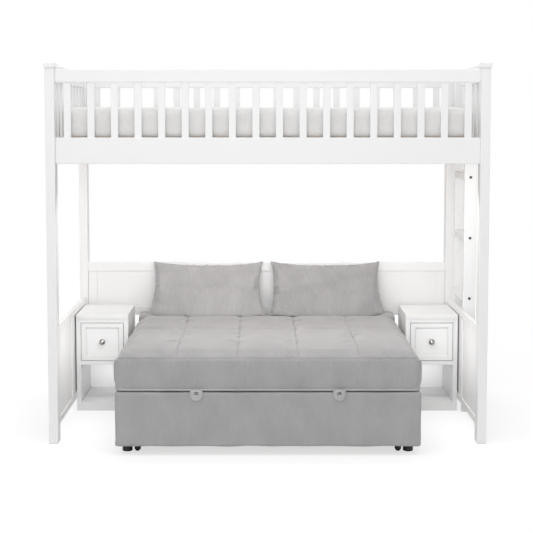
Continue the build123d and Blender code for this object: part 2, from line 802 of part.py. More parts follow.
# Bolts: two through each post into a side rail, and one through each stringer into a rung
bolt_planes = []
for side in (-1, 1):
    for center_depth in (post_center_depth, frame_depth - post_center_depth):
        for x, y, z in rail_bolt_places(center_depth):
            bolt_planes.append(Plane(origin=spot(side * x, y, z), z_dir=(-side, 0, 0)))
for _, _, outer_face, inward in stringer_places:
    for height in rung_heights():
        bolt_planes.append(Plane(origin=spot(ladder_center_x, outer_face, height), z_dir=(0, inward, 0)))
with BuildPart() as frame_bolts:
    with Locations(*bolt_planes):
        Cylinder(bolt_shank_radius, bolt_length, align=(Align.CENTER, Align.CENTER, Align.MIN))
        Cylinder(bolt_head_radius, bolt_head_height, align=(Align.CENTER, Align.CENTER, Align.MAX))
save_piece(frame_bolts, "frame_bolts")

# Nightstands and drawers
for side_name, side in sides:
    runner_places = make_nightstand(side_name, side)
make_drawer_runners(*runner_places)

# Sofa bed: base, deck and feet
with BuildPart() as sofa_base:
    side_low = (base_inner_x, base_front, base_bottom)
    for side in (-1, 1):
        add_box(side_low, (sofa_half, sofa_back, deck_bottom - glue_line), side)
    back_reach = base_inner_x - glue_line
    back_low = (-back_reach, sofa_back - base_back_thickness, base_bottom)
    add_box(back_low, (back_reach, sofa_back, deck_bottom - glue_line))
save_piece(sofa_base, "sofa_base")

bracket_reach = bracket_spacing / 2
with BuildPart() as sofa_deck:
    add_box((-sofa_half, base_front, deck_bottom), (sofa_half, sofa_back, deck_top))
    for side in (-1, 1):
        slot_half = bracket_thickness / 2 + glue_line
        slot_reach = bracket_half_width + glue_line
        low = (bracket_reach - slot_half, hinge_y - slot_reach, deck_bottom - cut_overrun)
        high = (bracket_reach + slot_half, hinge_y + slot_reach, deck_top + cut_overrun)
        add_box(low, high, side, Mode.SUBTRACT)
save_piece(sofa_deck, "sofa_deck")

foot_x = sofa_half - foot_inset_x
foot_depths = (base_front + foot_inset_y, sofa_back - foot_inset_y)
with BuildPart() as sofa_feet:
    with BuildSketch(Plane(origin=spot(0, 0, 0))):
        with Locations(*[(side * foot_x, depth) for side in (-1, 1) for depth in foot_depths]):
            Circle(foot_radius)
    extrude(amount=base_bottom)
    chamfer(sofa_feet.edges().group_by(Axis.Z)[0], foot_chamfer)
save_piece(sofa_feet, "sofa_feet")

with BuildPart() as rear_deck:
    rear_deck_top = cushion_bottom + rear_deck_height
    with BuildSketch(Plane.YZ.offset(bed_x - sofa_half)):
        with Locations((front_y + (rear_deck_front + sofa_back) / 2, (cushion_bottom + rear_deck_top) / 2)):
            Rectangle(rear_deck_depth, rear_deck_height)
    extrude(amount=2 * sofa_half)
    fillet(rear_deck.edges().group_by(Axis.Z)[-1], rear_deck_shoulder)
save_piece(rear_deck, "sofa_rear_deck")

# Seat cushion: five sewn columns, two rows of tufts, rounded front edge
column = 2 * sofa_half / cushion_columns
column_seams = [bed_x - sofa_half + column * step for step in range(1, cushion_columns)]
cushion_top = cushion_shoulder_top + cushion_puff
seat_rows = [front_y + seat_front + share * seat_depth for share in seat_row_shares]
with BuildPart() as seat_cushion:
    with BuildSketch(Plane.YZ.offset(bed_x - sofa_half)):
        with BuildLine():
            low = front_y + seat_front
            high = front_y + seat_back
            row_top = cushion_shoulder_top + cushion_row_puff
            crowned_outline(
                low, high, cushion_bottom, cushion_shoulder_top, row_top, seat_front_shoulder, seat_rows
            )
        make_face()
    extrude(amount=2 * sofa_half)
    with BuildSketch(Plane.XZ.offset(-high)):
        with BuildLine():
            left = bed_x - sofa_half
            right = bed_x + sofa_half
            crowned_outline(
                left, right, cushion_bottom, cushion_shoulder_top, cushion_top, end_shoulder, column_seams
            )
        make_face()
    extrude(amount=seat_depth, mode=Mode.INTERSECT)
    with BuildSketch(Plane(origin=spot(0, (seat_front + seat_back) / 2, cushion_bottom))) as plan:
        with BuildLine():
            drawn_outline(sofa_half, seat_depth / 2, cushion_draw)
        make_face()
        fillet(plan.vertices(), seat_corner)
    extrude(amount=row_top + cut_overrun - cushion_bottom, mode=Mode.INTERSECT)
save_piece(seat_cushion, "seat_cushion")

# Back flap: a rounded nose turns about the hinge line, and the heel is cut back to clear the deck
flap_bottom = cushion_bottom + flap_lift
flap_reach = flap_depth - flap_nose
heel_drop = hinge_z - flap_bottom
flap_back_low = hinge_y + sqrt(flap_reach**2 - heel_drop**2)
flap_rows = [front_y + flap_front + share * flap_depth for share in flap_row_shares]
with BuildPart() as back_flap:
    with BuildSketch(Plane.YZ.offset(bed_x - sofa_half)):
        with BuildLine():
            low = front_y + flap_front
            high = front_y + flap_back
            nose_end = low + flap_nose
            shoulder_start = high - flap_nose
            Polyline(
                (low, hinge_z),
                (low, flap_bottom + flap_heel_chamfer),
                (low + flap_heel_chamfer, flap_bottom),
                (front_y + flap_back_low, flap_bottom),
                (high, hinge_z),
            )
            CenterArc((nose_end, hinge_z), flap_nose, 180, -90)
            CenterArc((shoulder_start, hinge_z), flap_nose, 0, 90)
            stops = (nose_end, *flap_rows, shoulder_start)
            for start, end in zip(stops, stops[1:]):
                middle = ((start + end) / 2, row_top)
                ThreePointArc((start, cushion_shoulder_top), middle, (end, cushion_shoulder_top))
        make_face()
    extrude(amount=2 * sofa_half)
    with BuildSketch(Plane.XZ.offset(-high)):
        with BuildLine():
            crowned_outline(
                left, right, flap_bottom, cushion_shoulder_top, cushion_top, end_shoulder, column_seams
            )
        make_face()
    extrude(amount=flap_depth, mode=Mode.INTERSECT)
    for side in (-1, 1):
        slot_half = bracket_thickness / 2 + bracket_slot_gap
        slot_reach = bracket_half_width + bracket_slot_gap
        slot_low = (bracket_reach - slot_half, flap_front - cut_overrun, flap_bottom - cut_overrun)
        slot_high = (bracket_reach + slot_half, hinge_y + slot_reach, hinge_z + slot_reach)
        add_box(slot_low, slot_high, side, Mode.SUBTRACT)
        bore_start = spot(side * bracket_reach - hinge_pin_length / 2, hinge_y, hinge_z)
        drill([bore_start], (1, 0, 0), hinge_pin_radius + hinge_pin_fit, hinge_pin_length)
save_piece(back_flap, "back_flap")

with BuildPart() as hinge_brackets:
    for side in (-1, 1):
        with BuildSketch(Plane.YZ.offset(bed_x + side * bracket_reach)):
            eye = (front_y + hinge_y, hinge_z)
            with Locations(eye):
                Circle(bracket_half_width)
            with Locations((eye[0], (deck_bottom + hinge_z) / 2)):
                Rectangle(2 * bracket_half_width, hinge_z - deck_bottom)
            with Locations(eye):
                Circle(hinge_pin_radius + hinge_running_fit, mode=Mode.SUBTRACT)
        extrude(amount=bracket_thickness / 2, both=True)
save_piece(hinge_brackets, "flap_hinge_brackets")

with BuildPart() as hinge_pins:
    with BuildSketch(Plane.YZ.offset(bed_x - hinge_pin_length / 2)):
        with Locations((front_y + hinge_y, hinge_z)):
            Circle(hinge_pin_radius)
    pin = extrude(amount=hinge_pin_length, mode=Mode.PRIVATE)
    with Locations((-bracket_reach, 0), (bracket_reach, 0)):
        add(pin)
save_piece(hinge_pins, "flap_hinge_pins")

# Pull-out section: padded front panel
panel_half = sofa_half + panel_overhang
panel_height = panel_top - panel_bottom
with BuildPart() as pullout_front:
    with BuildSketch(Plane.XZ.offset(-(front_y + panel_back))):
        with Locations((bed_x, (panel_top + panel_bottom) / 2)):
            RectangleRounded(2 * panel_half, panel_height, panel_corner)
    extrude(amount=panel_thickness)
    fillet(pullout_front.edges().group_by(Axis.Y)[0], panel_edge)
save_piece(pullout_front, "pullout_front")

# Channels on the base's inner sides, open towards the middle
channel_front = base_front + channel_front_gap
channel_back = sofa_back - channel_back_gap
channel_tip = base_inner_x - channel_depth
channel_top = channel_bottom + channel_height
with BuildPart() as pullout_channels:
    for side in (-1, 1):
        low = (channel_tip, channel_front, channel_bottom)
        add_box(low, (base_inner_x, channel_back, channel_top), side)
        low = (channel_tip - cut_overrun, channel_front - cut_overrun, channel_bottom + channel_wall)
        high = (base_inner_x - channel_wall, channel_back + cut_overrun, channel_top - channel_wall)
        add_box(low, high, side, Mode.SUBTRACT)
save_piece(pullout_channels, "pullout_channels")

# Carriage: four boards, floor slats, and strips that run in the channels
carriage_top = carriage_bottom + carriage_height
carriage_inner_x = carriage_outer_x - carriage_board
cross_reach = carriage_inner_x - glue_line
strip_tip = base_inner_x - channel_wall - strip_tip_gap
floor_bottom = floor_top - carriage_slat_thickness
with BuildPart() as pullout_carriage:
    for side in (-1, 1):
        low = (carriage_inner_x, carriage_front, carriage_bottom)
        add_box(low, (carriage_outer_x, carriage_back, carriage_top), side)
        low = (carriage_outer_x, carriage_back - strip_length, channel_bottom + channel_wall + strip_fit)
        add_box(low, (strip_tip, carriage_back, channel_top - channel_wall - strip_fit), side)
    low = (-cross_reach, carriage_front, carriage_bottom)
    add_box(low, (cross_reach, carriage_front + carriage_board, carriage_top))
    low = (-cross_reach, carriage_back - carriage_board, carriage_bottom)
    add_box(low, (cross_reach, carriage_back, carriage_top))
    slat_span = carriage_depth - 2 * (carriage_board + glue_line)
    with BuildSketch(Plane(origin=spot(0, (carriage_front + carriage_back) / 2, floor_bottom))):
        with GridLocations(0, slat_span / carriage_slat_count, 1, carriage_slat_count):
            Rectangle(2 * cross_reach, carriage_slat_width)
    extrude(amount=carriage_slat_thickness)
save_piece(pullout_carriage, "pullout_carriage")

make_padded_block(
    "pullout_cushion",
    carriage_inner_x - stored_cushion_gap,
    carriage_front + carriage_board + stored_cushion_gap,
    carriage_back - carriage_board - stored_cushion_gap,
    floor_top + soft_gap,
    stored_cushion_thickness,
    stored_cushion_puff,
    stored_cushion_shoulder,
    stored_cushion_corner,
    cushion_draw,
)

# Casters: a fork with its axle under each side of the carriage, and a wheel on the axle
caster_x = carriage_outer_x - caster_x_inset - carriage_board / 2
caster_depth = carriage_front + caster_setback
fork_half = fork_width / 2
with BuildPart() as caster_forks:
    for side in (-1, 1):
        low = (caster_x - fork_half, caster_depth - fork_depth / 2, carriage_bottom - fork_plate)
        high = (caster_x + fork_half, caster_depth + fork_depth / 2, carriage_bottom)
        add_box(low, high, side)
        for inner, outer in ((-fork_half, fork_cheek - fork_half), (fork_half - fork_cheek, fork_half)):
            low = (caster_x + inner, caster_depth - fork_cheek_depth / 2, fork_ground_gap)
            high = (caster_x + outer, caster_depth + fork_cheek_depth / 2, carriage_bottom - fork_plate)
            add_box(low, high, side)
    axle_planes = [
        Plane(origin=spot(side * caster_x - fork_half, caster_depth, wheel_radius), z_dir=(1, 0, 0))
        for side in (-1, 1)
    ]
    with Locations(*axle_planes):
        Cylinder(axle_radius, fork_width, align=(Align.CENTER, Align.CENTER, Align.MIN))
save_piece(caster_forks, "caster_forks")

for side_name, side in sides:
    with BuildPart() as wheel:
        with BuildSketch(Plane.YZ.offset(bed_x + side * caster_x)):
            with Locations((front_y + caster_depth, wheel_radius)):
                Circle(wheel_radius)
        extrude(amount=wheel_width / 2, both=True)
        fillet(wheel.edges(), wheel_edge)
        bore_start = spot(side * caster_x - wheel_width / 2, caster_depth, wheel_radius)
        drill([bore_start], (1, 0, 0), axle_radius + axle_fit, wheel_width)
    save_piece(wheel, f"caster_wheel_{side_name}")

# Pull tabs: a padded loop that hangs over the front panel, held by a tongue on its top edge
tab_top = panel_top + soft_gap + tab_tongue_thickness
tab_radius = tab_width / 2
with BuildPart() as pull_tabs:
    with BuildSketch(Plane.XZ.offset(-(front_y + tab_front))):
        for side in (-1, 1):
            tab_x = bed_x + side * tab_spacing / 2
            with Locations((tab_x, tab_top - tab_straight / 2)):
                Rectangle(tab_width, tab_straight)
            with Locations((tab_x, tab_top - tab_straight)):
                Circle(tab_radius)
            with Locations((tab_x, tab_top - tab_eye_drop)):
                Circle(tab_eye_radius, mode=Mode.SUBTRACT)
    extrude(amount=-tab_thickness)
    for side in (-1, 1):
        tab_x = side * tab_spacing / 2
        low = (tab_x - tab_radius, tab_front, tab_top - tab_tongue_thickness)
        add_box(low, (tab_x + tab_radius, panel_front + tab_tongue_length, tab_top))
save_piece(pull_tabs, "pull_tabs")

# Pillows
for side_name, side in sides:
    make_pillow(f"pillow_{side_name}", side)
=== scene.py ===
import math

import bpy
import numpy as np
from bpy.props import FloatProperty, FloatVectorProperty, IntProperty, PointerProperty
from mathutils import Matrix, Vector


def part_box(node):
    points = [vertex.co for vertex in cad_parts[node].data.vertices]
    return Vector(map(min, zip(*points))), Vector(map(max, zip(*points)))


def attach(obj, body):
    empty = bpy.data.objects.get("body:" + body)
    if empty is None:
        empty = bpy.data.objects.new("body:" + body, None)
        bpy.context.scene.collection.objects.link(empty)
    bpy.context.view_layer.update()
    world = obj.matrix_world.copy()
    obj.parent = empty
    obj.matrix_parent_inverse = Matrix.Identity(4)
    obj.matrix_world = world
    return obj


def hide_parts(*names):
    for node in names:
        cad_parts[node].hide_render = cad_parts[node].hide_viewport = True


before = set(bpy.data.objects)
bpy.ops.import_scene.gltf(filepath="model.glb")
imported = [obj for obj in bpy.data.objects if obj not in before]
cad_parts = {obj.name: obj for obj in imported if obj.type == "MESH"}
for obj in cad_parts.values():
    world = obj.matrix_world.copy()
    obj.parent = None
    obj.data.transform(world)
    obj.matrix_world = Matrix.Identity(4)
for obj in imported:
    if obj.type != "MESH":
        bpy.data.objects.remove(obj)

bl_info = {
    "name": "Loft Bed Finish",
    "version": (1, 0, 0),
    "blender": (4, 5, 0),
    "location": "3D View > Sidebar > Loft Bed",
    "description": "Paint, upholstery, bedding and a studio for a loft bed with a sofa bed",
    "category": "Object",
}

ALONG_BED, ACROSS_BED, UPWARDS = 0, 1, 2

ENDS, FACES = ("left", "right"), ("front", "back")


def pairs(words, *patterns):
    """The names that two words make with each pattern."""
    return [pattern.replace("*", word) for pattern in patterns for word in words]


# The painted boards by the way that their grain runs
PAINTED = {
    UPWARDS: [
        *pairs(ENDS, "post_front_*", "post_back_*", "end_slats_*", "end_panel_board_*"),
        *pairs(FACES, "guard_slats_*", "ladder_stringer_*"),
        *pairs(ENDS, "nightstand_*_carcass"),
    ],
    ALONG_BED: [
        *pairs(FACES, "side_rail_*", "guard_rail_*"),
        "back_panel_frame", "back_panel_board", "post_caps",
        *pairs(ENDS, "nightstand_*_top", "drawer_*_front"),
    ],
    ACROSS_BED: [
        *pairs(ENDS, "end_rail_*", "end_guard_rail_*", "end_panel_frame_*"), "ladder_rungs",
    ],
}
DRAWER_FRONTS = pairs(ENDS, "drawer_*_front")
CARCASSES = pairs(ENDS, "nightstand_*_carcass")
BARE_WOOD = {
    ACROSS_BED: ["bed_slats", *pairs(ENDS, "drawer_*_box"), "drawer_runners"],
    ALONG_BED: ["slat_cleats", "pullout_carriage"],
}
KNOBS = pairs(ENDS, "drawer_*_knob")
BOLTS = ("frame_bolts",)
ZINC_PARTS = ("flap_hinge_brackets", "flap_hinge_pins", "pullout_channels")
PLASTIC_PARTS = ("sofa_feet", "caster_forks")
WHEELS = pairs(ENDS, "caster_wheel_*")


def setting(kind, **rules):
    """A maker of one kind of property, from a name, a description and a default."""
    def make(name, description, default):
        return kind(name=name, description=description, default=default, **rules)
    return make


count_value = setting(IntProperty)
number_value = setting(FloatProperty)
length_value = setting(FloatProperty, unit="LENGTH")
power_value = setting(FloatProperty, unit="POWER")
share_value = setting(FloatProperty, subtype="FACTOR")
angle_value = setting(FloatProperty, subtype="ANGLE")
colour_value = setting(FloatVectorProperty, subtype="COLOR", size=3, min=0, max=1)


class PaintSettings(bpy.types.PropertyGroup):
    colour: colour_value("Paint", "Colour of the painted boards", (0.845, 0.845, 0.845))
    grain_depth: length_value("Grain depth", "How deep the grain shows through the paint", 0.00005)
    edge_radius: length_value("Edge radius", "Radius to which the paint rounds each edge", 0.0012)
    joint_reach: length_value("Joint reach", "Width of the shade in joints between boards", 0.006)
    # Painted shade: the next two set how bright the paint stays in the loft's joints and in the
    # gaps round the drawers, darkened by ambient occlusion where shade falls.
    painted_loft_crevice_shade: share_value("Loft shade", "Brightness that paint keeps in the loft's joints", 0.6)
    painted_crevice_shade: share_value("Gap shade", "Brightness that it keeps in a gap round a drawer", 0.02)
    pine: colour_value("Bare wood", "Colour of the boards that are left bare", (0.62, 0.44, 0.27))


class ClothSettings(bpy.types.PropertyGroup):
    sofa: colour_value("Sofa cloth", "Colour of the sofa bed's cloth", (0.388, 0.381, 0.384))
    pillow: colour_value("Pillow cloth", "Colour of the pillows' cloth", (0.408, 0.401, 0.405))
    thread: length_value("Thread", "Distance between two threads of the weave", 0.0016)
    cell: length_value("Cell", "Size of the faces that the cushions are inflated with", 0.010)
    puff: length_value("Puff", "Rise of the cushion between two seams", 0.013)
    columns: count_value("Columns", "Number of sewn columns across the seat", 5)
    edge_drop: length_value("Edge drop", "Height of the top's edge above the seam round it", 0.015)
    proud: length_value("Proud", "Height by which the filling lifts the cloth", 0.007)
    end_drop: length_value("End drop", "Height that the seat loses at its rounded ends", 0.018)
    deck_rise: length_value("Deck rise", "Rise of the rear deck beside the pillows", 0.016)
    seam_depth: length_value("Seam depth", "Depth of the seams across the seat", 0.0050)
    rim_groove: length_value("Rim groove", "Depth of the seam that runs round the seat", 0.0036)
    tuft_depth: length_value("Tuft depth", "Depth of each sewn tuft", 0.021)
    fold_depth: length_value("Fold depth", "Depth of the folds beside a tuft", 0.016)
    pressure: number_value("Filling pressure", "Pressure of the filling on the cloth", 4.0)
    seed: count_value("Seed", "Start of the random draws for folds", 7)


class PillowSettings(bpy.types.PropertyGroup):
    height: length_value("Height", "Height of a pillow along its lean", 0.305)
    thickness: length_value("Thickness", "Thickness of a pillow's middle", 0.112)
    lean: angle_value("Lean", "Lean of the pillows from upright", math.radians(20.6))
    filling: share_value("Filling", "Share of the pillow's box that the filling takes up", 0.62)
    overhang: length_value("Overhang", "Length of the corners past the pillow's node", 0.018)
    hollow: length_value("Hollow sides", "Depth to which a pillow's short sides curve in", 0.023)
    dip: length_value("Dip", "Depth to which a pillow's top curves in", 0.023)
    slant: length_value("Slant", "How much farther the outer side reaches at the foot", 0.021)
    sag: length_value("Sag", "Depth to which the filled front hangs down to the deck", 0.085)
    cell: length_value("Cell", "Size of the faces that a pillow is inflated with", 0.0065)


class BeddingSettings(bpy.types.PropertyGroup):
    ticking: colour_value("Ticking", "Colour of the mattress cloth", (0.715, 0.708, 0.70))
    diamond: length_value("Diamond", "Width of the diamonds sewn into the mattress", 0.13)
    quilt_depth: length_value("Quilt depth", "Depth of the sewn lines of the mattress", 0.005)
    top_radius: length_value("Top radius", "Radius of the mattress's upper edge", 0.028)


class HardwareSettings(bpy.types.PropertyGroup):
    pewter: colour_value("Knobs", "Colour of the drawer knobs", (0.46, 0.45, 0.43))
    bolt: colour_value("Bolts", "Colour of the bolt heads", (0.10, 0.10, 0.105))
    zinc: colour_value("Brackets", "Colour of the hinge brackets and channels", (0.58, 0.59, 0.60))
    plastic: colour_value("Plastic", "Colour of the feet and casters", (0.012, 0.012, 0.013))


class StudioSettings(bpy.types.PropertyGroup):
    camera: FloatVectorProperty(
        name="Camera", description="Where the camera stands",
        subtype="TRANSLATION", unit="LENGTH", size=3, default=(-0.0563, -5.9914, 1.5444))
    tilt: angle_value("Tilt", "How far the camera looks down", math.radians(4.04))
    lens: number_value("Lens", "Focal length in millimetres", 79.99)
    shift: FloatVectorProperty(
        name="Shift", description="Shift of the frame, in widths", size=2, default=(0.0106, -0.12))
    front: power_value("Front light", "Power of the light in front", 84.5)
    overhead: power_value("Overhead light", "Power of the light above", 64.0)
    back: power_value("Back light", "Power of the light behind", 50.0)
    strip: power_value("Strip light", "Power of the strip under the loft", 9.0)
    shelf: power_value("Shelf light", "Power of the light in front of each open shelf", 0.113)
    drawer: power_value("Drawer light", "Power of the light in front of each drawer", 0.012)
    end: power_value("End light", "Power of the light on each end panel", 0.32)
    daylight: number_value("Room light", "Strength of the light from all round", 0.6)


SETTINGS = {
    "loft_paint": PaintSettings,
    "loft_cloth": ClothSettings,
    "loft_pillows": PillowSettings,
    "loft_bedding": BeddingSettings,
    "loft_hardware": HardwareSettings,
    "loft_studio": StudioSettings,
}


# Materials

def new_material(name):
    """A new material, its node tree and its shader."""
    material = bpy.data.materials.new(name)
    material.use_nodes = True
    tree = material.node_tree
    return material, tree, tree.nodes["Principled BSDF"]


def empty_tree(owner):
    """The node tree of a material or world, with nothing in it."""
    owner.use_nodes = True
    owner.node_tree.nodes.clear()
    return owner.node_tree


def fill_sockets(tree, node, values):
    """Link or fill a node's sockets by name or number."""
    for name, value in values.items():
        if isinstance(value, bpy.types.NodeSocket):
            tree.links.new(value, node.inputs[name])
        else:
            node.inputs[name].default_value = value


def add_node(tree, kind, inputs=None, **settings):
    """Add a shader node, set it up and fill its sockets."""
    node = tree.nodes.new("ShaderNode" + kind)
    for name, value in settings.items():
        setattr(node, name, value)
    fill_sockets(tree, node, inputs or {})
    return node


def calculate(tree, operation, first, second):
    """The result of one operation on two values."""
    sockets = {0: first, 1: second}
    return add_node(tree, "Math", sockets, operation=operation).outputs[0]


def stretched(tree, place, stretch):
    """A point with each of its axes scaled."""
    return add_node(tree, "Mapping", {"Vector": place, "Scale": stretch}).outputs["Vector"]


def object_point(tree, stretch=(1, 1, 1)):
    """The point on the object, with each axis scaled."""
    return stretched(tree, add_node(tree, "TexCoord").outputs["Object"], stretch)


def cloth_point(tree, stretch=(1, 1, 1)):
    """The point on the cloth, in metres along warp and weft."""
    place = add_node(tree, "UVMap", uv_map="cloth").outputs["UV"]
    return stretched(tree, place, stretch)


def drawn_out(tree, axis, along, across=1.0):
    """The point on the object, scaled so that a pattern is drawn out along one axis."""
    stretch = [across] * 3
    stretch[axis] = along
    return object_point(tree, stretch)


def noise(tree, point, scale, detail=2.0, roughness=0.5):
    """A noise value from 0 to 1."""
    sockets = {"Vector": point, "Scale": scale, "Detail": detail, "Roughness": roughness}
    return add_node(tree, "TexNoise", sockets).outputs["Fac"]


def spread(tree, value, low, high, start=0.3, end=0.7):
    """Move a value from one range to another."""
    sockets = {"Value": value, "From Min": start, "From Max": end, "To Min": low, "To Max": high}
    return add_node(tree, "MapRange", sockets).outputs["Result"]


def blend_sum(tree, first, second, share):
    """The first value plus a share of the second."""
    return calculate(tree, "ADD", first, calculate(tree, "MULTIPLY", second, share))


def varied(tree, first, second, share, start=0.3, end=0.7):
    """The first value, made a little more or less by the second."""
    return blend_sum(tree, first, spread(tree, second, -0.5, 0.5, start, end), share)


def tinted(tree, colour, amount):
    """A colour made lighter or darker by a value around 1."""
    sockets = {0: colour, "Scale": amount}
    return add_node(tree, "VectorMath", sockets, operation="SCALE").outputs["Vector"]


def rounded_edges(tree, radius):
    """The surface's normal, turned near edges as if they were round."""
    return add_node(tree, "Bevel", {"Radius": radius}, samples=4).outputs["Normal"]


def relief(tree, height, depth, strength, normal=None):
    """The surface's normal under a fine relief."""
    sockets = {"Height": height, "Distance": depth, "Strength": strength}
    if normal is not None:
        sockets["Normal"] = normal
    return add_node(tree, "Bump", sockets).outputs["Normal"]


def paint_material(name, look, grain, painted_crevice_shade, edge_scuff_and_shade=(0.0, 0.10), reach=1.0):
    """Satin paint over wood: grain showing through, roller texture, edges scuffed a little and
    darkened by painted shade, and painted shade in joints and gaps.
    """
    material, tree, shader = new_material(name)
    fibres = noise(tree, drawn_out(tree, grain, 0.05), 130, 5, 0.6)
    roller = noise(tree, object_point(tree), 700, 2)
    cloudy = noise(tree, object_point(tree), 2.5, 3)
    scuff_and_shade_noise = noise(tree, object_point(tree), 22, 4, 0.65)

    rounded = rounded_edges(tree, reach * look.edge_radius)
    flat = add_node(tree, "NewGeometry").outputs["Normal"]
    facing = add_node(
        tree, "VectorMath", {0: rounded, 1: flat}, operation="DOT_PRODUCT")
    edge = spread(tree, facing.outputs["Value"], 1.0, 0.0, 0.75, 0.995)
    # Edges darkened a little: partly scuffed paint, partly painted shade that makes the edges
    # read; the drawer fronts take it almost fully.
    scuffed_and_shaded_edges = calculate(tree, "MULTIPLY", edge, spread(tree, scuff_and_shade_noise, *edge_scuff_and_shade))

    tone = varied(tree, spread(tree, cloudy, 0.985, 1.0), fibres, 0.012)
    tone = calculate(tree, "SUBTRACT", tone, scuffed_and_shaded_edges)
    # Painted shade: ambient occlusion darkens the paint in joints and gaps, where shade falls.
    air = add_node(
        tree, "AmbientOcclusion", {"Distance": look.joint_reach}, samples=8)
    joints = spread(tree, air.outputs["AO"], painted_crevice_shade, 1.0, 0.20, 0.65)
    height = blend_sum(tree, spread(tree, fibres, 0.0, 1.0), roller, 0.35)
    fill_sockets(tree, shader, {
        "Base Color": tinted(tree, look.colour, calculate(tree, "MULTIPLY", tone, joints)),
        "Roughness": spread(tree, roller, 0.40, 0.52),
        "Normal": relief(tree, height, look.grain_depth, 0.7, rounded),
        "Specular IOR Level": 0.42})
    return material


def bare_wood_material(name, look, grain):
    """Planed softwood: growth rings drawn out along the board, pores and a dry surface."""
    material, tree, shader = new_material(name)
    rings = add_node(tree, "TexWave", {
        "Vector": drawn_out(tree, grain, 0.35, 6.0), "Scale": 2.2, "Distortion": 5.0,
        "Detail": 3.0, "Detail Scale": 1.3},
        wave_type="RINGS", rings_direction="SPHERICAL").outputs["Fac"]
    pores = noise(tree, drawn_out(tree, grain, 0.04), 420, 4, 0.65)
    tone = varied(tree, spread(tree, rings, 0.80, 1.08, 0.0, 1.0), pores, 0.16)
    fill_sockets(tree, shader, {
        "Base Color": tinted(tree, look.pine, tone),
        "Roughness": spread(tree, pores, 0.55, 0.72),
        "Normal": relief(tree, blend_sum(tree, pores, rings, 0.4), 0.0003, 0.6)})
    return material


def metal_material(name, colour, rough, brushed=ALONG_BED):
    """Brushed metal with fine lines, a few scuffs and rounded edges."""
    material, tree, shader = new_material(name)
    lines = noise(tree, drawn_out(tree, brushed, 0.03), 1500, 3)
    scuffs = noise(tree, object_point(tree), 90, 5, 0.7)
    tone = varied(tree, spread(tree, scuffs, 0.82, 1.06), lines, 0.08)
    fill_sockets(tree, shader, {
        "Base Color": tinted(tree, colour, tone),
        "Roughness": spread(tree, scuffs, rough - 0.06, rough + 0.12),
        "Normal": relief(tree, lines, 0.00003, 0.6, rounded_edges(tree, 0.0006)),
        "Metallic": 1.0})
    return material


def plastic_material(name, colour, rough):
    """Moulded plastic or rubber with a fine spark texture."""
    material, tree, shader = new_material(name)
    spark = noise(tree, object_point(tree), 1400, 3)
    dust = noise(tree, object_point(tree), 35, 4)
    fill_sockets(tree, shader, {
        "Base Color": tinted(tree, colour, spread(tree, dust, 0.8, 1.5)),
        "Roughness": spread(tree, dust, rough - 0.05, rough + 0.1),
        "Normal": relief(tree, spark, 0.00008, 0.5, rounded_edges(tree, 0.0012))})
    return material


def threads(tree, direction, pitch):
    """Evenly spaced threads in one direction, a little uneven."""
    sockets = {
        "Vector": cloth_point(tree), "Scale": math.tau / (20 * pitch), "Distortion": 1.2,
        "Detail": 2.0, "Detail Scale": 1.0}
    waves = add_node(
        tree, "TexWave", sockets, wave_type="BANDS", bands_direction=direction)
    return waves.outputs["Fac"]


def cloth_material(name, colour, pitch, sheen, nap_share, shade=1.0):
    """Brushed woven upholstery: weave, a nap that lies in streaks, and a soft sheen."""
    material, tree, shader = new_material(name)
    weave = calculate(tree, "MULTIPLY", threads(tree, "X", pitch), threads(tree, "Y", pitch))
    fuzz = noise(tree, cloth_point(tree), 1100, 3, 0.7)
    nap = noise(tree, cloth_point(tree, (1.0, 0.16, 1.0)), 170, 4, 0.6)
    hand = noise(tree, cloth_point(tree, (1.0, 0.55, 1.0)), 9, 4, 0.55)
    tone = varied(tree, spread(tree, hand, 0.93, 1.07), nap, nap_share)
    tone = varied(tree, tone, fuzz, 0.10)
    tone = varied(tree, tone, weave, 0.08, 0.0, 0.6)
    height = blend_sum(tree, blend_sum(tree, weave, fuzz, 0.8), nap, 0.8)
    fill_sockets(tree, shader, {
        "Base Color": tinted(tree, [shade * part for part in colour], tone),
        "Roughness": spread(tree, nap, 0.80, 0.95),
        "Normal": relief(tree, height, 0.0006, 0.65),
        "Specular IOR Level": 0.25, "Sheen Weight": sheen, "Sheen Roughness": 0.35})
    return material


def ticking_material(name, colour):
    """Knitted mattress ticking: small raised loops in a leaf-like drift."""
    material, tree, shader = new_material(name)
    loops = add_node(tree, "TexVoronoi", {
        "Vector": cloth_point(tree, (1.0, 0.6, 1.0)), "Scale": 420.0},
        feature="SMOOTH_F1").outputs["Distance"]
    drift = noise(tree, cloth_point(tree, (1.0, 0.7, 1.0)), 46, 2, 0.4)
    raised = spread(tree, drift, 0.0, 1.0, 0.46, 0.54)
    soil = noise(tree, cloth_point(tree), 5, 3)
    tone = varied(tree, spread(tree, soil, 0.97, 1.01), raised, 0.02, 0.0, 1.0)
    tone = varied(tree, tone, loops, -0.05, 0.0, 0.8)
    fill_sockets(tree, shader, {
        "Base Color": tinted(tree, colour, tone),
        "Normal": relief(tree, blend_sum(tree, raised, loops, -0.6), 0.0007, 0.6),
        "Roughness": 0.88, "Sheen Weight": 0.15})
    return material


def finish_node(name, material):
    """Give a node of the frame its material."""
    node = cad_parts[name]
    if not node.material_slots:
        node.data.materials.append(material)
    for place in node.material_slots:
        place.material = material


# Meshes

def start_fresh():
    """Leave edit mode and deselect everything."""
    if bpy.context.mode != "OBJECT":
        bpy.ops.object.mode_set(mode="OBJECT")
    bpy.ops.object.select_all(action="DESELECT")


def select_only(piece):
    """Make one piece selected and active."""
    start_fresh()
    piece.select_set(True)
    bpy.context.view_layer.objects.active = piece


def edit_all():
    """Go into edit mode with everything selected."""
    bpy.ops.object.mode_set(mode="EDIT")
    bpy.ops.mesh.select_all(action="SELECT")


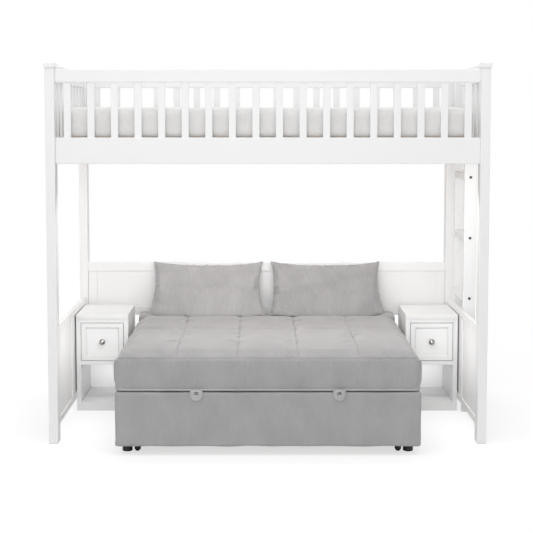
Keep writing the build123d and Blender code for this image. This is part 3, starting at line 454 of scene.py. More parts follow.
def face_outwards():
    """Turn the faces of the piece in edit mode outwards, and leave edit mode."""
    bpy.ops.mesh.select_all(action="SELECT")
    bpy.ops.mesh.normals_make_consistent(inside=False)
    bpy.ops.object.mode_set(mode="OBJECT")


def add_object(name, data):
    """A new object in the scene."""
    piece = bpy.data.objects.new(name, data)
    bpy.context.scene.collection.objects.link(piece)
    return piece


def points_of(piece):
    """The piece's points as an array of rows."""
    flat = np.empty(3 * len(piece.data.vertices))
    piece.data.vertices.foreach_get("co", flat)
    return flat.reshape(-1, 3)


def set_points(piece, points):
    """Move the piece's points."""
    piece.data.vertices.foreach_set("co", points.ravel())
    piece.data.update()


def apply_modifier(piece, kind, **settings):
    """Add a modifier, set it up and apply it."""
    select_only(piece)
    bpy.ops.object.modifier_add(type=kind)
    modifier = piece.modifiers[-1]
    for name, value in settings.items():
        setattr(modifier, name, value)
    bpy.ops.object.modifier_apply(modifier=modifier.name)


def smooth_once(piece):
    """Subdivide the piece once and shade it smooth."""
    apply_modifier(piece, "SUBSURF", levels=1, render_levels=1)
    select_only(piece)
    bpy.ops.object.shade_smooth()


def lay_cloth_map(piece):
    """Map the cloth in metres: top and bottom by X and Y, each side by its run and height."""
    mesh = piece.data
    if not mesh.uv_layers:
        mesh.uv_layers.new()
    mesh.uv_layers[0].name = "cloth"
    normals = np.empty(3 * len(mesh.polygons))
    mesh.polygons.foreach_get("normal", normals)
    sizes = np.empty(len(mesh.polygons), dtype=int)
    mesh.polygons.foreach_get("loop_total", sizes)
    facing = np.repeat(np.abs(normals.reshape(-1, 3)).argmax(axis=1), sizes)
    corners = np.empty(len(mesh.loops), dtype=int)
    mesh.loops.foreach_get("vertex_index", corners)
    x, y, z = points_of(piece)[corners].T
    run = np.where(facing == ALONG_BED, y, x)
    rise = np.where(facing == UPWARDS, y, z)
    mesh.uv_layers[0].data.foreach_set("uv", np.column_stack((run, rise)).ravel())


def levels(low, high, cell, stops=(), pinch=0.0):
    """Places from low to high, about a cell apart, that crowd together at the stops."""
    edges = (low, *stops, high)
    places = [low]
    for start, end in zip(edges, edges[1:]):
        count = max(2, round((end - start) / cell))
        share = np.arange(1, count + 1) / count
        share -= pinch * np.sin(math.tau * share) / math.tau
        places.extend(start + share * (end - start))
    return np.array(places)


def grid_block(name, *places):
    """A closed block of faces with its edges at three lists of places, and its cloth map."""
    start_fresh()
    counts = [len(along) - 1 for along in places]
    columns, rows, layers = counts
    bpy.ops.mesh.primitive_grid_add(x_subdivisions=columns, y_subdivisions=rows, size=1)
    piece = bpy.context.object
    piece.name = name
    edit_all()
    for _ in range(layers):
        bpy.ops.mesh.extrude_region_move(TRANSFORM_OT_translate={"value": (0, 0, 1 / layers)})
    face_outwards()
    shares = points_of(piece) + (0.5, 0.5, 0.0)
    numbers = np.rint(shares * counts).astype(int).T
    set_points(piece, np.column_stack([along[number] for along, number in zip(places, numbers)]))
    lay_cloth_map(piece)
    return piece


def even_block(name, low, high, cell):
    """A closed block of even faces between two corners."""
    return grid_block(name, *(levels(start, end, cell) for start, end in zip(low, high)))


def round_edges(points, low, high, radii_low, radii_high):
    """Pull a block's points in so that its edges and corners are round."""
    low, high = np.array(low), np.array(high)
    radii_low, radii_high = np.array(radii_low), np.array(radii_high)
    core = np.clip(points, low + radii_low, high - radii_high)
    away = points - core
    unit = away / np.where(away < 0, radii_low, radii_high)
    length = np.linalg.norm(unit, axis=1)
    reach = np.abs(unit).max(axis=1)
    share = np.divide(reach, length, out=np.ones_like(length), where=length > 0)
    return core + away * share[:, None]


def bell(distance, width):
    """A smooth bump of height 1 that fades over a width."""
    return np.exp(-(distance / width) ** 2)


def ease(value, start, end):
    """A smooth rise from 0 to 1 between start and end."""
    share = np.clip((value - start) / (end - start), 0, 1)
    return share * share * (3 - 2 * share)


def ripples(points, pitch, draws, waves=9):
    """Gentle random unevenness from -1 to 1, of a given pitch."""
    total = np.zeros(len(points))
    for _ in range(waves):
        way = draws.normal(size=3)
        way *= math.tau / pitch * draws.uniform(0.6, 1.4) / np.linalg.norm(way)
        total += np.sin(points @ way + draws.uniform(0, math.tau))
    return total / math.sqrt(waves) / 1.5


def inflate(piece, pressure, frames, stiffness, cap=0.0, held=(), slack=0.0, volume=0.0):
    """Press the filling against the cloth, let it settle, and cap how far a point moves."""
    before = points_of(piece)
    group = piece.vertex_groups.new(name="held")
    group.add([int(number) for number in held], 1.0, "REPLACE")
    select_only(piece)
    bpy.ops.object.modifier_add(type="CLOTH")
    cloth = piece.modifiers[-1]
    cloth.point_cache.frame_start = 1
    cloth.point_cache.frame_end = frames
    rules = {
        "quality": 4, "mass": 0.3, "bending_stiffness": 0.5, "shear_stiffness": stiffness / 2,
        "tension_stiffness": stiffness, "compression_stiffness": stiffness,
        "tension_damping": 8, "compression_damping": 8,
        "use_pressure": True, "shrink_min": -slack}
    if len(held):
        rules["vertex_group_mass"] = group.name
    if volume:
        rules.update(
            use_pressure_volume=True, target_volume=volume,
            uniform_pressure_force=0, pressure_factor=pressure)
    else:
        rules["uniform_pressure_force"] = pressure
    for name, value in rules.items():
        setattr(cloth.settings, name, value)
    cloth.settings.effector_weights.gravity = 0
    scene = bpy.context.scene
    for step in range(1, frames + 1):
        scene.frame_set(step)
    bpy.ops.object.modifier_apply(modifier=cloth.name)
    scene.frame_set(1)
    piece.vertex_groups.clear()
    if cap:
        move = points_of(piece) - before
        far = np.maximum(np.linalg.norm(move, axis=1), 1e-9)
        move *= (cap * np.tanh(far / cap) / far)[:, None]
        set_points(piece, before + move)


def tube_along(name, places, radius):
    """A closed round cord through places that form a ring, as a mesh with its cloth map."""
    start_fresh()
    curve = bpy.data.curves.new(name, "CURVE")
    curve.dimensions = "3D"
    curve.bevel_depth = radius
    curve.bevel_resolution = 2
    line = curve.splines.new("POLY")
    line.points.add(len(places) - 1)
    for point, place in zip(line.points, places):
        point.co = (*place, 1.0)
    line.use_cyclic_u = True
    select_only(add_object(name, curve))
    bpy.ops.object.convert(target="MESH")
    piece = bpy.context.object
    lay_cloth_map(piece)
    bpy.ops.object.shade_smooth()
    return piece


def ring_places(low, high, height, radius, steps=8):
    """Places round a rectangle with round corners, at one height."""
    places = []
    corners = ((high.x, high.y, 0), (low.x, high.y, 1), (low.x, low.y, 2), (high.x, low.y, 3))
    for x, y, turn in corners:
        centre_x = x - math.copysign(radius, x - (low.x + high.x) / 2)
        centre_y = y - math.copysign(radius, y - (low.y + high.y) / 2)
        for step in range(steps + 1):
            angle = math.tau / 4 * (turn + step / steps)
            places.append((
                centre_x + radius * math.cos(angle), centre_y + radius * math.sin(angle), height))
    return places


def dress(piece, material, body, nodes=()):
    """Finish a piece: its material, the body it moves with, and the nodes it stands for."""
    piece.data.materials.clear()
    piece.data.materials.append(material)
    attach(piece, body)
    if nodes:
        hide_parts(*nodes)


# Seat and backrest

# Each fold beside a tuft: its side, its slant in degrees and its length
TUFT_FOLDS = ((-1, 38, 0.085), (-1, 4, 0.100), (1, 12, 0.050))


def tuft_folds(points, tuft, draws, depth):
    """Rise and fall of the folds that run out from one tuft, two long ones and a short one."""
    near = points[:, :2] - tuft
    total = np.zeros(len(points))
    fade_in, full_share = (-0.004, 0.010), 0.35
    crest, crest_gap, crest_width, fold_width = 0.6, 0.019, 0.012, 0.0085
    for side, slant, length in TUFT_FOLDS:
        slant = math.radians(slant + draws.uniform(-8, 8))
        length *= draws.uniform(0.8, 1.2)
        way = np.array((side * math.cos(slant), math.sin(slant)))
        along = near @ way
        across = near @ np.array((-way[1], way[0])) * side
        fade = ease(along, *fade_in) * (1 - ease(along, full_share * length, length))
        shape = crest * bell(across + crest_gap, crest_width) - bell(across, fold_width)
        total += draws.uniform(0.75, 1.0) * depth * fade * shape
    return total


def crown_top(points, low, high, seams, shoulder, look):
    """Raise the top of a cushion between its seams, and lower it at its ends."""
    rim_width, back_width, seam_dent, dent_width, end_reach = 0.10, 0.05, 0.42, 0.030, 0.080
    top_depth, top_edge = 0.030, 0.003
    x, y, z = points.T
    to_end = np.minimum(x - low[0], high[0] - x)
    to_edge = np.minimum((y - low[1]) / rim_width, (high[1] - y) / back_width)
    crown = 1 - (1 - np.clip(np.minimum(to_end / rim_width, to_edge), 0, 1)) ** 2
    between = 1 - seam_dent * bell(np.abs(x[:, None] - seams).min(axis=1), dent_width)
    upper = ease(z, shoulder - top_depth, shoulder - top_edge)
    z += (look.puff + look.proud) * upper * crown * between
    z -= look.end_drop * upper * (1 - np.clip(to_end / end_reach, 0, 1)) ** 2


def bulge_ends(points, low, high, seam_height, shoulder):
    """Let the cushion's ends bulge a little below the seam."""
    reach, bulge, below_seam = 0.05, 0.006, 0.03
    x, _, z = points.T
    inner_x = np.clip(x, low[0] + reach, high[0] - reach)
    belly = ease(z, low[2], low[2] + reach) * (1 - ease(z, seam_height - below_seam, shoulder))
    x += bulge * belly * np.sign(x - inner_x)


def sew_top(points, low, seams, tufts, shoulder, look, draws):
    """Sink the seams and the tufts into the top, with the folds beside the tufts."""
    skin_depth, skin_edge, seam_start, seam_full = 0.010, 0.001, 0.004, 0.02
    seam_width, wobble, wobble_pace, wobble_shift = 0.0030, 0.0012, 31, 9
    pit, pit_width, bowl, bowl_width, oval = 0.55, 0.009, 0.45, 0.028, (1.25, 0.9)
    unevenness, uneven_pitch = 0.0012, 0.13
    x, y, z = points.T
    on_top = ease(z, shoulder - skin_depth, shoulder - skin_edge)
    for seam in seams:
        line = seam + wobble * np.sin(y * wobble_pace + wobble_shift * seam)
        sewn = on_top * ease(y, low[1] + seam_start, low[1] + seam_full)
        z -= look.seam_depth * sewn * bell(x - line, seam_width)
    for tuft in tufts:
        reach = np.linalg.norm((points[:, :2] - tuft) / oval, axis=1)
        pull = pit * bell(reach, pit_width) + bowl * np.exp(-reach / bowl_width)
        z -= look.tuft_depth * on_top * pull
        z += on_top * tuft_folds(points, tuft, draws, look.fold_depth)
    z += unevenness * on_top * ripples(points, uneven_pitch, draws)


def sew_rim(points, low, high, seam_height, look, draws):
    """Press the seam into the sides, with small puckers below it and uneven faces."""
    side_depth, seam_width, lip, lip_place, lip_width = 0.016, 0.0034, 0.0012, 0.009, 0.006
    pucker_pitch, pucker_depth, pucker_drop, pucker_width = 0.023, 0.0008, 0.013, 0.012
    unevenness, uneven_pitch, fade_height = 0.0018, 0.24, 0.012
    middle, half = (low + high) / 2, (high - low) / 2
    x, y, z = points.T
    from_seam = z - seam_height
    groove = look.rim_groove * bell(from_seam, seam_width)
    groove -= lip * bell(from_seam - lip_place, lip_width)
    inward = (np.abs(points - middle) > half - side_depth) * (1.0, 1.0, 0.0)
    puckers = np.sin((x + y) * math.tau / pucker_pitch + 3 * ripples(points, 0.2, draws))
    groove += pucker_depth * puckers * bell(from_seam + pucker_drop, pucker_width)
    uneven = unevenness * ripples(points, uneven_pitch, draws)
    groove += uneven * ease(from_seam, fade_height, 0.0)
    points -= inward * np.sign(points - middle) * groove[:, None]


def quilted_block(name, node, rows, radii, look, seed):
    """A block of foam under sewn cloth: seams, tufts with folds, and a seam round its sides."""
    draws = np.random.default_rng(seed)
    low, high = (np.array(corner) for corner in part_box(node))
    shoulder = high[2] - look.puff
    seam_height = shoulder - look.edge_drop
    seams = low[0] + np.arange(1, look.columns) / look.columns * (high[0] - low[0])
    lines = low[1] + np.array(rows) * (high[1] - low[1])
    piece = grid_block(
        name,
        levels(low[0], high[0], look.cell, seams, 0.6),
        levels(low[1], high[1], look.cell, lines, 0.72),
        levels(low[2], shoulder, look.cell, (seam_height,), 0.5))
    front, back = radii
    end_radius, foot_radius, top_radius = 0.030, 0.008, look.edge_drop * 1.3
    points = round_edges(
        points_of(piece), low, (high[0], high[1], shoulder),
        (end_radius, front, foot_radius), (end_radius, back, top_radius))
    crown_top(points, low, high, seams, shoulder, look)
    bulge_ends(points, low, high, seam_height, shoulder)
    set_points(piece, points)

    tufts = [np.array((seam, line)) for line in lines for seam in seams]
    foot_height, seam_reach, tuft_reach, jitter = 0.012, 0.0015, 0.010, 0.0003
    z = points[:, 2]
    held = (z < low[2] + foot_height) | (np.abs(z - seam_height) < seam_reach)
    for tuft in tufts:
        beside = np.linalg.norm(points[:, :2] - tuft, axis=1) < tuft_reach
        held |= beside & (z > seam_height)
    points += draws.normal(scale=jitter, size=points.shape) * ~held[:, None]
    set_points(piece, points)
    inflate(
        piece, look.pressure, frames=16, stiffness=20,
        cap=0.007, held=np.flatnonzero(held), slack=0.02)
    smooth_once(piece)

    points = points_of(piece)
    sew_top(points, low, seams, tufts, shoulder, look, draws)
    sew_rim(points, low, high, seam_height, look, draws)
    points[:, 2] = np.clip(points[:, 2], low[2], high[2] + look.proud)
    set_points(piece, points)
    return piece


def cut_heel(back):
    """Keep the backrest inside its node: its front is a nose that turns on the hinge line."""
    low, high = (np.array(corner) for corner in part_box("back_flap"))
    points = points_of(back)
    nose, nose_drop = 0.030, 0.013
    centre = np.array((low[1] + nose, high[2] - nose_drop - nose))
    reach = high[1] - centre[0]
    away = points[:, 1:] - centre
    far = np.linalg.norm(away, axis=1)
    over = (away[:, 0] > 0) & (away[:, 1] < 0) & (far > reach)
    points[over, 1:] = centre + away[over] * (reach / far[over])[:, None]
    set_points(back, points)


class LOFT_OT_make_seat(bpy.types.Operator):
    """Upholster the seat cushion and the folding backrest"""

    bl_idname = "loft.make_seat"
    bl_label = "Seat and backrest"

    def execute(self, context):
        look = context.scene.loft_cloth
        material = cloth_material("sofa cloth", look.sofa, look.thread, 0.45, 0.10)
        # The deck's cloth is the sofa cloth darkened: partly the dark dust cloth such decks have,
        # partly painted shade so that the deck reads as a shadowed gap.
        dust_cloth_and_painted_shade = cloth_material("deck lining", look.sofa, look.thread, 0.5, 0.05, shade=0.45)
        finish_node("sofa_deck", dust_cloth_and_painted_shade)
        seat = quilted_block(
            "seat_upholstery", "seat_cushion", (0.41, 0.70), (0.013, 0.010), look, look.seed)
        dress(seat, material, "frame", ["seat_cushion"])
        back = quilted_block(
            "backrest_upholstery", "back_flap", (0.556,), (0.026, 0.014), look, look.seed + 1)
        cut_heel(back)
        dress(back, material, "backrest", ["back_flap"])
        low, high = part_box("seat_cushion")
        cord_height, corner, cord_radius = 0.0045, 0.030, 0.0042
        places = ring_places(low, high, low.z + cord_height, corner)
        welt = tube_along("seat_welt", places, cord_radius)
        edging = cloth_material("sofa welt cloth", look.sofa, look.thread, 0.5, 0.05, shade=1.25)
        dress(welt, edging, "frame")
        return {"FINISHED"}


# Sofa base, rear deck, front panel and stored cushion

def soft_block(name, low, high, cell, radii_low, radii_high, unevenness, draws):
    """A plain padded block with round edges and slightly uneven faces."""
    piece = even_block(name, low, high, cell)
    set_points(piece, round_edges(points_of(piece), low, high, radii_low, radii_high))
    smooth_once(piece)
    low, high = np.array(low), np.array(high)
    outer, inner, pitch, sink = (0.90, 0.99), (0.75, 0.97), 0.17, 0.7
    points = points_of(piece)
    share = (points - (low + high) / 2) / ((high - low) / 2)
    for axis in range(3):
        others = [other for other in range(3) if other != axis]
        face = ease(np.abs(share[:, axis]), *outer)
        face *= np.prod([1 - ease(np.abs(share[:, other]), *inner) for other in others], axis=0)
        wave = ripples(points, pitch, draws) - sink
        points[:, axis] += np.sign(share[:, axis]) * face * unevenness * wave
    set_points(piece, points)
    return piece


# Padded blocks by name, node, body, cell, radii at the low and the high corner, unevenness, fill
PADS = (
    ("rear_deck_upholstery", "sofa_rear_deck", "frame", 0.012,
     (0.016, 0.014, 0.006), (0.016, 0.014, 0.020), 0.002, 0.9),
    ("front_panel_upholstery", "pullout_front", "pullout", 0.010,
     (0.013, 0.012, 0.010), (0.013, 0.004, 0.010), 0.0016, 0.95),
    ("stored_cushion_upholstery", "pullout_cushion", "pullout", 0.016,
     (0.020, 0.020, 0.012), (0.020, 0.020, 0.026), 0.003, 0.85),
)


def raise_deck(deck, rise):
    """Raise the rear deck's top beside the pillows."""
    low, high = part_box("sofa_rear_deck")
    top_depth, pillow_end, full_rise = 0.02, 0.600, 0.655
    points = points_of(deck)
    x, _, z = points.T
    from_middle = np.abs(x - (low.x + high.x) / 2)
    upper = ease(z, (low.z + high.z) / 2, high.z - top_depth)
    z += rise * upper * ease(from_middle, pillow_end, full_rise)
    set_points(deck, points)


class LOFT_OT_make_sofa_body(bpy.types.Operator):
    """Upholster the sofa bed's sides, back, rear deck, front panel and stored cushion"""

    bl_idname = "loft.make_sofa_body"
    bl_label = "Sofa body"

    def execute(self, context):
        look = context.scene.loft_cloth
        draws = np.random.default_rng(look.seed + 20)
        material = cloth_material("sofa body cloth", look.sofa, look.thread, 0.30, 0.08)
        low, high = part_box("sofa_base")
        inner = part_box("pullout_channels")[1].x
        thick, back_thick, cell, unevenness = high.x - inner, 0.025, 0.016, 0.0012
        radii = (0.009,) * 3
        sides = (
            ("sofa_side_left", low, (low.x + thick, high.y, high.z)),
            ("sofa_side_right", (high.x - thick, low.y, low.z), high),
            ("sofa_back_cover",
             (low.x + thick, high.y - back_thick, low.z), (inner, high.y, high.z)),
        )
        for name, start, end in sides:
            start, end = Vector(start), Vector(end)
            piece = soft_block(name, start, end, cell, radii, radii, unevenness, draws)
            dress(piece, material, "frame", ["sofa_base"])

        for name, node, body, cell, radii_low, radii_high, unevenness, fill in PADS:
            low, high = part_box(node)
            piece = soft_block(name, low, high, cell, radii_low, radii_high, unevenness, draws)
            if node == "sofa_rear_deck":
                raise_deck(piece, look.deck_rise)
            dress(piece, material, body, [node])
        return {"FINISHED"}


# Pull tabs, by their width, their straight sides, the eye's depth and their thickness
TAB_WIDTH, TAB_STRAIGHT, EYE_DROP, TAB_THICK = 0.060, 0.022, 0.016, 0.008
EYE_RADIUS, TAB_RINGS = 0.0086, (1.3, 1.35, 1.3, 1.2)


def make_tab(side):
    """A padded loop: a ring of faces round the eye, drawn out to the tab's outline."""
    start_fresh()
    bpy.ops.mesh.primitive_circle_add(vertices=48, radius=EYE_RADIUS, fill_type="NOTHING")
    tab = bpy.context.object
    tab.name = f"pull_tab_{side}"
    edit_all()
    for scale in TAB_RINGS:
        bpy.ops.mesh.extrude_region_move()
        bpy.ops.transform.resize(value=(scale, scale, 1))
    bpy.ops.mesh.select_all(action="SELECT")
    bpy.ops.mesh.extrude_region_move(TRANSFORM_OT_translate={"value": (0, 0, TAB_THICK)})
    face_outwards()

    points = points_of(tab)
    x, y, z = points.T
    angle = np.arctan2(y, x)
    reach = np.linalg.norm(points[:, :2], axis=1)
    first, last = reach.min(), reach.max()
    share = (reach - first) / (last - first)
    half = TAB_WIDTH / 2
    drop = TAB_STRAIGHT - EYE_DROP
    across, up = np.cos(angle), np.sin(angle)
    to_side = half / np.maximum(np.abs(across), 1e-6)
    to_top = np.where(up > 0, EYE_DROP / np.maximum(up, 1e-6), np.inf)
    below = -up * drop + np.sqrt(np.maximum(half ** 2 - (across * drop) ** 2, 0))
    outline = np.minimum(np.where(up * to_side < -drop, below, to_side), to_top)
    radius = first + share * (outline - first)
    middle = np.abs(z / TAB_THICK - 0.5) * 2
    roundness = np.sqrt(np.clip(1 - (2 * share - 1) ** 4, 0, 1))
    padding = TAB_THICK / 2 * (0.55 + 0.45 * roundness)
    front = np.where(z > TAB_THICK / 2, -1, 1) * padding * middle + TAB_THICK / 2
    set_points(tab, np.column_stack((radius * across, front, radius * up - EYE_DROP)))
    apply_modifier(tab, "SUBSURF", levels=2, render_levels=2)
    select_only(tab)
    edit_all()
    face_outwards()
    bpy.ops.object.shade_smooth()
    return tab


def make_eyelet(side, place):
    """A flattened metal ring round a tab's eye."""
    start_fresh()
    bpy.ops.mesh.primitive_torus_add(
        major_segments=40, minor_segments=12, major_radius=0.0128, minor_radius=0.0042,
        rotation=(math.radians(90), 0, 0))
    eyelet = bpy.context.object
    eyelet.name = f"tab_eyelet_{side}"
    bpy.ops.object.transform_apply(location=False, rotation=True, scale=False)
    set_points(eyelet, points_of(eyelet) * (1, 0.45, 1) + place)
    bpy.ops.object.shade_smooth()
    return eyelet


class LOFT_OT_make_pull_tabs(bpy.types.Operator):
    """Make the two pull tabs with their eyelets"""

    bl_idname = "loft.make_pull_tabs"
    bl_label = "Pull tabs"

    def execute(self, context):
        look = context.scene.loft_cloth
        low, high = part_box("pull_tabs")
        # The tab cloth is the sofa cloth made lighter: a painted highlight for the light on the
        # tab's body.
        tab_cloth_painted_light = cloth_material("tab cloth", look.sofa, look.thread, 0.3, 0.05, shade=1.15)
        metal = metal_material("eyelet metal", (0.42, 0.42, 0.42), 0.30)
        for side, middle in (("left", low.x + TAB_WIDTH / 2), ("right", high.x - TAB_WIDTH / 2)):
            tab = make_tab(side)
            set_points(tab, points_of(tab) + (middle, low.y, high.z))
            lay_cloth_map(tab)
            dress(tab, tab_cloth_painted_light, "pullout", ["pull_tabs"])
            eyelet = make_eyelet(side, (middle, low.y + 0.0014, high.z - EYE_DROP))
            dress(eyelet, metal, "pullout")
        return {"FINISHED"}


# Pillows and mattress

def pull_seam(trimmed, points, share, axis, side, levels_along, line):
    """Bring one side of the seam to its line, and the cloth inside it along by a share."""
    outward, along = share[:, axis], share[:, 1 - axis]
    ring = np.abs(outward - side) < 1e-6
    order = np.argsort(along[ring])
    pull = (1 + side * outward) / 2
    wanted = np.interp(along[ring], levels_along, line)
    for moved, target, fade in ((axis, wanted, 1), (UPWARDS, 0.0, 4)):
        gap = (target - points[ring, moved])[order]
        trimmed[:, moved] += pull ** fade * np.interp(along, along[ring][order], gap)


def trim_outline(points, share, look, length, outer):
    """Bring a filled pillow's seam to its outline: hollow sides, a dipped top, a straight foot."""
    inner_slant, foot_dip = 0.004, 0.003
    level = np.linspace(-1, 1, 81)
    slants = {outer: look.slant, -outer: inner_slant}
    hollow = look.hollow * (1 - level ** 2) * (1 + 0.25 * level)
    trimmed = points.copy()
    for side in (-1, 1):
        line = side * (length / 2 - slants[side] * (1 + level) / 2 - hollow)
        pull_seam(trimmed, points, share, 0, side, level, line)
    for side, depth in ((-1, foot_dip), (1, look.dip)):
        line = side * (look.height / 2 - depth * (1 - np.abs(level) ** 3))
        pull_seam(trimmed, points, share, 1, side, level, line)
    return trimmed


def sew_pillow(node, look, seed, outer):
    """Two sheets sewn round the edge and filled, lying flat with the middle at the origin."""
    draws = np.random.default_rng(seed)
    low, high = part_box(node)
    length = high.x - low.x + look.overhang
    spare_across, spare_up, gap = 1.03, 1.09, 0.003
    dome_share, crease, crease_pitch, jitter = 0.32, 0.0022, 0.09, 0.0004
    cut = Vector((length * spare_across, look.height * spare_up, gap))
    pillow = even_block(f"{node}_cover", -cut / 2, cut / 2, look.cell)
    points = points_of(pillow)
    share = points[:, :2] / (np.array(cut[:2]) / 2)
    dome = np.sqrt(np.clip((1 - share[:, 0] ** 2) * (1 - share[:, 1] ** 2), 0, 1))
    z = points[:, 2]
    z += np.sign(z) * dome * look.thickness * dome_share
    z += crease * dome * ripples(points, crease_pitch, draws)
    points += draws.normal(scale=jitter, size=points.shape)
    set_points(pillow, points)
    from_seam = (np.array(cut[:2]) / 2 - np.abs(points[:, :2])).min(axis=1)
    volume = length * look.height * look.thickness * look.filling
    inflate(pillow, pressure=40, frames=30, stiffness=70, volume=volume)
    for reach, rounds in ((0.004, 18), (0.055, 40)):
        field = pillow.vertex_groups.new(name="field")
        field.add(np.flatnonzero(from_seam > reach).tolist(), 1.0, "REPLACE")
        apply_modifier(pillow, "SMOOTH", factor=0.5, iterations=rounds, vertex_group="field")
        pillow.vertex_groups.clear()
    set_points(pillow, trim_outline(points_of(pillow), share, look, length, outer))
    smooth_once(pillow)

    gather_pitch, gather_depth, gather_sway, sag_start = 0.021, 0.0011, 2.5, 0.35
    points = points_of(pillow)
    x, y, z = points.T
    z *= look.thickness / np.ptp(z)
    share = points / (np.array((length, look.height, look.thickness)) / 2)
    sway = gather_sway * ripples(points, 0.11, draws)
    gathers = np.sin(x * math.tau / gather_pitch + sway)
    gathers *= 0.5 + 0.5 * ripples(points, 0.07, draws)
    from_middle = np.abs(share[:, 1])
    near_seam = ease(from_middle, 0.45, 0.9) * (1 - ease(from_middle, 0.93, 1.0))
    z += np.sign(z) * gather_depth * gathers * near_seam
    lower = np.clip(-share[:, 1], 0, 1)
    y -= look.sag * np.clip(share[:, 2], 0, 1) * ease(lower, sag_start, 1.0)
    set_points(pillow, points)
    return pillow


def lean_pillow(pillow, node, look):
    """Stand the pillow up against the back panel, on the rear deck."""
    low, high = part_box(node)
    middle = np.array((low + high) / 2)
    up = np.array((0, math.sin(look.lean), math.cos(look.lean)))
    outward = np.array((0, -math.cos(look.lean), math.sin(look.lean)))
    points = points_of(pillow)
    placed = middle + points[:, :1] * (1, 0, 0) + points[:, 1:2] * up + points[:, 2:3] * outward
    clearance = 0.0005
    placed[:, 2] = np.maximum(placed[:, 2], low.z + clearance)
    placed[:, 1] = np.minimum(placed[:, 1], high.y)
    set_points(pillow, placed)


# Each pillow's side, its outer end and the tone of its cloth, which is painted light: the left
# cloth lighter and the right darker, as if lit from the left
PILLOWS = (("left", -1, 1.03), ("right", 1, 0.93))


class LOFT_OT_make_pillows(bpy.types.Operator):
    """Sew, fill and lean the two pillows"""

    bl_idname = "loft.make_pillows"
    bl_label = "Pillows"

    def execute(self, context):
        look = context.scene.loft_pillows
        cloth = context.scene.loft_cloth
        for number, (side, outer, tone) in enumerate(PILLOWS):
            node = f"pillow_{side}"
            # shade=tone makes lit and shaded copies of one pillow cloth: painted light.
            material = cloth_material(
                f"pillow cloth {side}", cloth.pillow, cloth.thread, 0.40, 0.16, shade=tone)
            pillow = sew_pillow(node, look, cloth.seed + 40 + number, outer)
            lean_pillow(pillow, node, look)
            dress(pillow, material, "frame", [node])
        return {"FINISHED"}


class LOFT_OT_make_mattress(bpy.types.Operator):
    """Make the quilted mattress"""

    bl_idname = "loft.make_mattress"
    bl_label = "Mattress"

    def execute(self, context):
        look = context.scene.loft_bedding
        draws = np.random.default_rng(context.scene.loft_cloth.seed + 60)
        low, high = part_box("loft_mattress")
        corner, foot_radius, cell = 0.050, 0.010, 0.020
        skin_depth, skin_edge, rim_start, rim_end = 0.010, 0.001, 0.02, 0.10
        line_pace, rim_drop, unevenness, uneven_pitch = 2.2, 0.004, 0.001, 0.3
        pinch_depth, pinch_sway, pinch_pitch = 0.001, 0.0022, 0.12
        mattress = even_block("mattress_cover", low, high, cell)
        set_points(mattress, round_edges(
            points_of(mattress), low, high,
            (corner, corner, foot_radius), (corner, corner, look.top_radius)))
        smooth_once(mattress)
        points = points_of(mattress)
        x, y, z = points.T
        on_top = ease(z, high.z - skin_depth, high.z - skin_edge)
        rim = np.minimum(points[:, :2] - low[:2], np.array(high[:2]) - points[:, :2]).min(axis=1)
        inside = ease(rim, rim_start, rim_end)
        lines = [np.abs(np.sin((x + way * y) * math.pi / look.diamond)) for way in (1, -1)]
        sewn = 1 - np.clip(np.minimum(*lines) * line_pace, 0, 1)
        z -= on_top * (look.quilt_depth * sewn * inside + rim_drop * (1 - inside))
        z += unevenness * on_top * ripples(points, uneven_pitch, draws)

        side = 1 - ease(rim, 0.004, 0.012)
        middle = (np.array(low) + np.array(high)) / 2
        waist = 1 - np.abs(z - middle[2]) / (high.z - middle[2])
        inward = middle[:2] - points[:, :2]
        inward /= np.maximum(np.abs(inward).max(axis=1), 1e-6)[:, None]
        wave = 0.5 + 0.5 * ripples(points, pinch_pitch, draws)
        pinch = side * np.clip(waist, 0, 1) * (pinch_depth + pinch_sway * wave)
        points[:, :2] += inward * pinch[:, None]
        set_points(mattress, points)
        ticking = ticking_material("mattress ticking", look.ticking)
        dress(mattress, ticking, "frame", ["loft_mattress"])
        return {"FINISHED"}


# Finishes of the frame's own nodes

class LOFT_OT_paint_woodwork(bpy.types.Operator):
    """Paint the loft, the ladder, the panels and the nightstands"""

    bl_idname = "loft.paint_woodwork"
    bl_label = "Painted woodwork"

    def execute(self, context):
        look = context.scene.loft_paint
        # Each kind of paint by its painted shade in joints and gaps, its scuffed paint and painted
        # shade at edges, and the reach of that edge darkening
        kinds = {
            "satin paint": (look.painted_loft_crevice_shade,),
            # The nightstand carcasses keep almost no brightness in the gaps round the drawers:
            # painted shade.
            "drawer paint": (look.painted_crevice_shade,),
            # The drawer fronts darken their edges almost fully and wider than elsewhere: a painted
            # shade line round each drawer.
            "drawer front paint": (look.painted_crevice_shade, (0.85, 0.95), 2.2),
        }
        special = {name: "drawer front paint" for name in DRAWER_FRONTS}
        special.update({name: "drawer paint" for name in CARCASSES})
        paints = {}
        for grain, names in PAINTED.items():
            for name in names:
                kind = special.get(name, "satin paint")
                title = f"{kind} {'XYZ'[grain]}"
                if title not in paints:
                    paints[title] = paint_material(title, look, grain, *kinds[kind])
                finish_node(name, paints[title])
        for grain, names in BARE_WOOD.items():
            material = bare_wood_material(f"bare wood {'XYZ'[grain]}", look, grain)
            for name in names:
                finish_node(name, material)
        return {"FINISHED"}


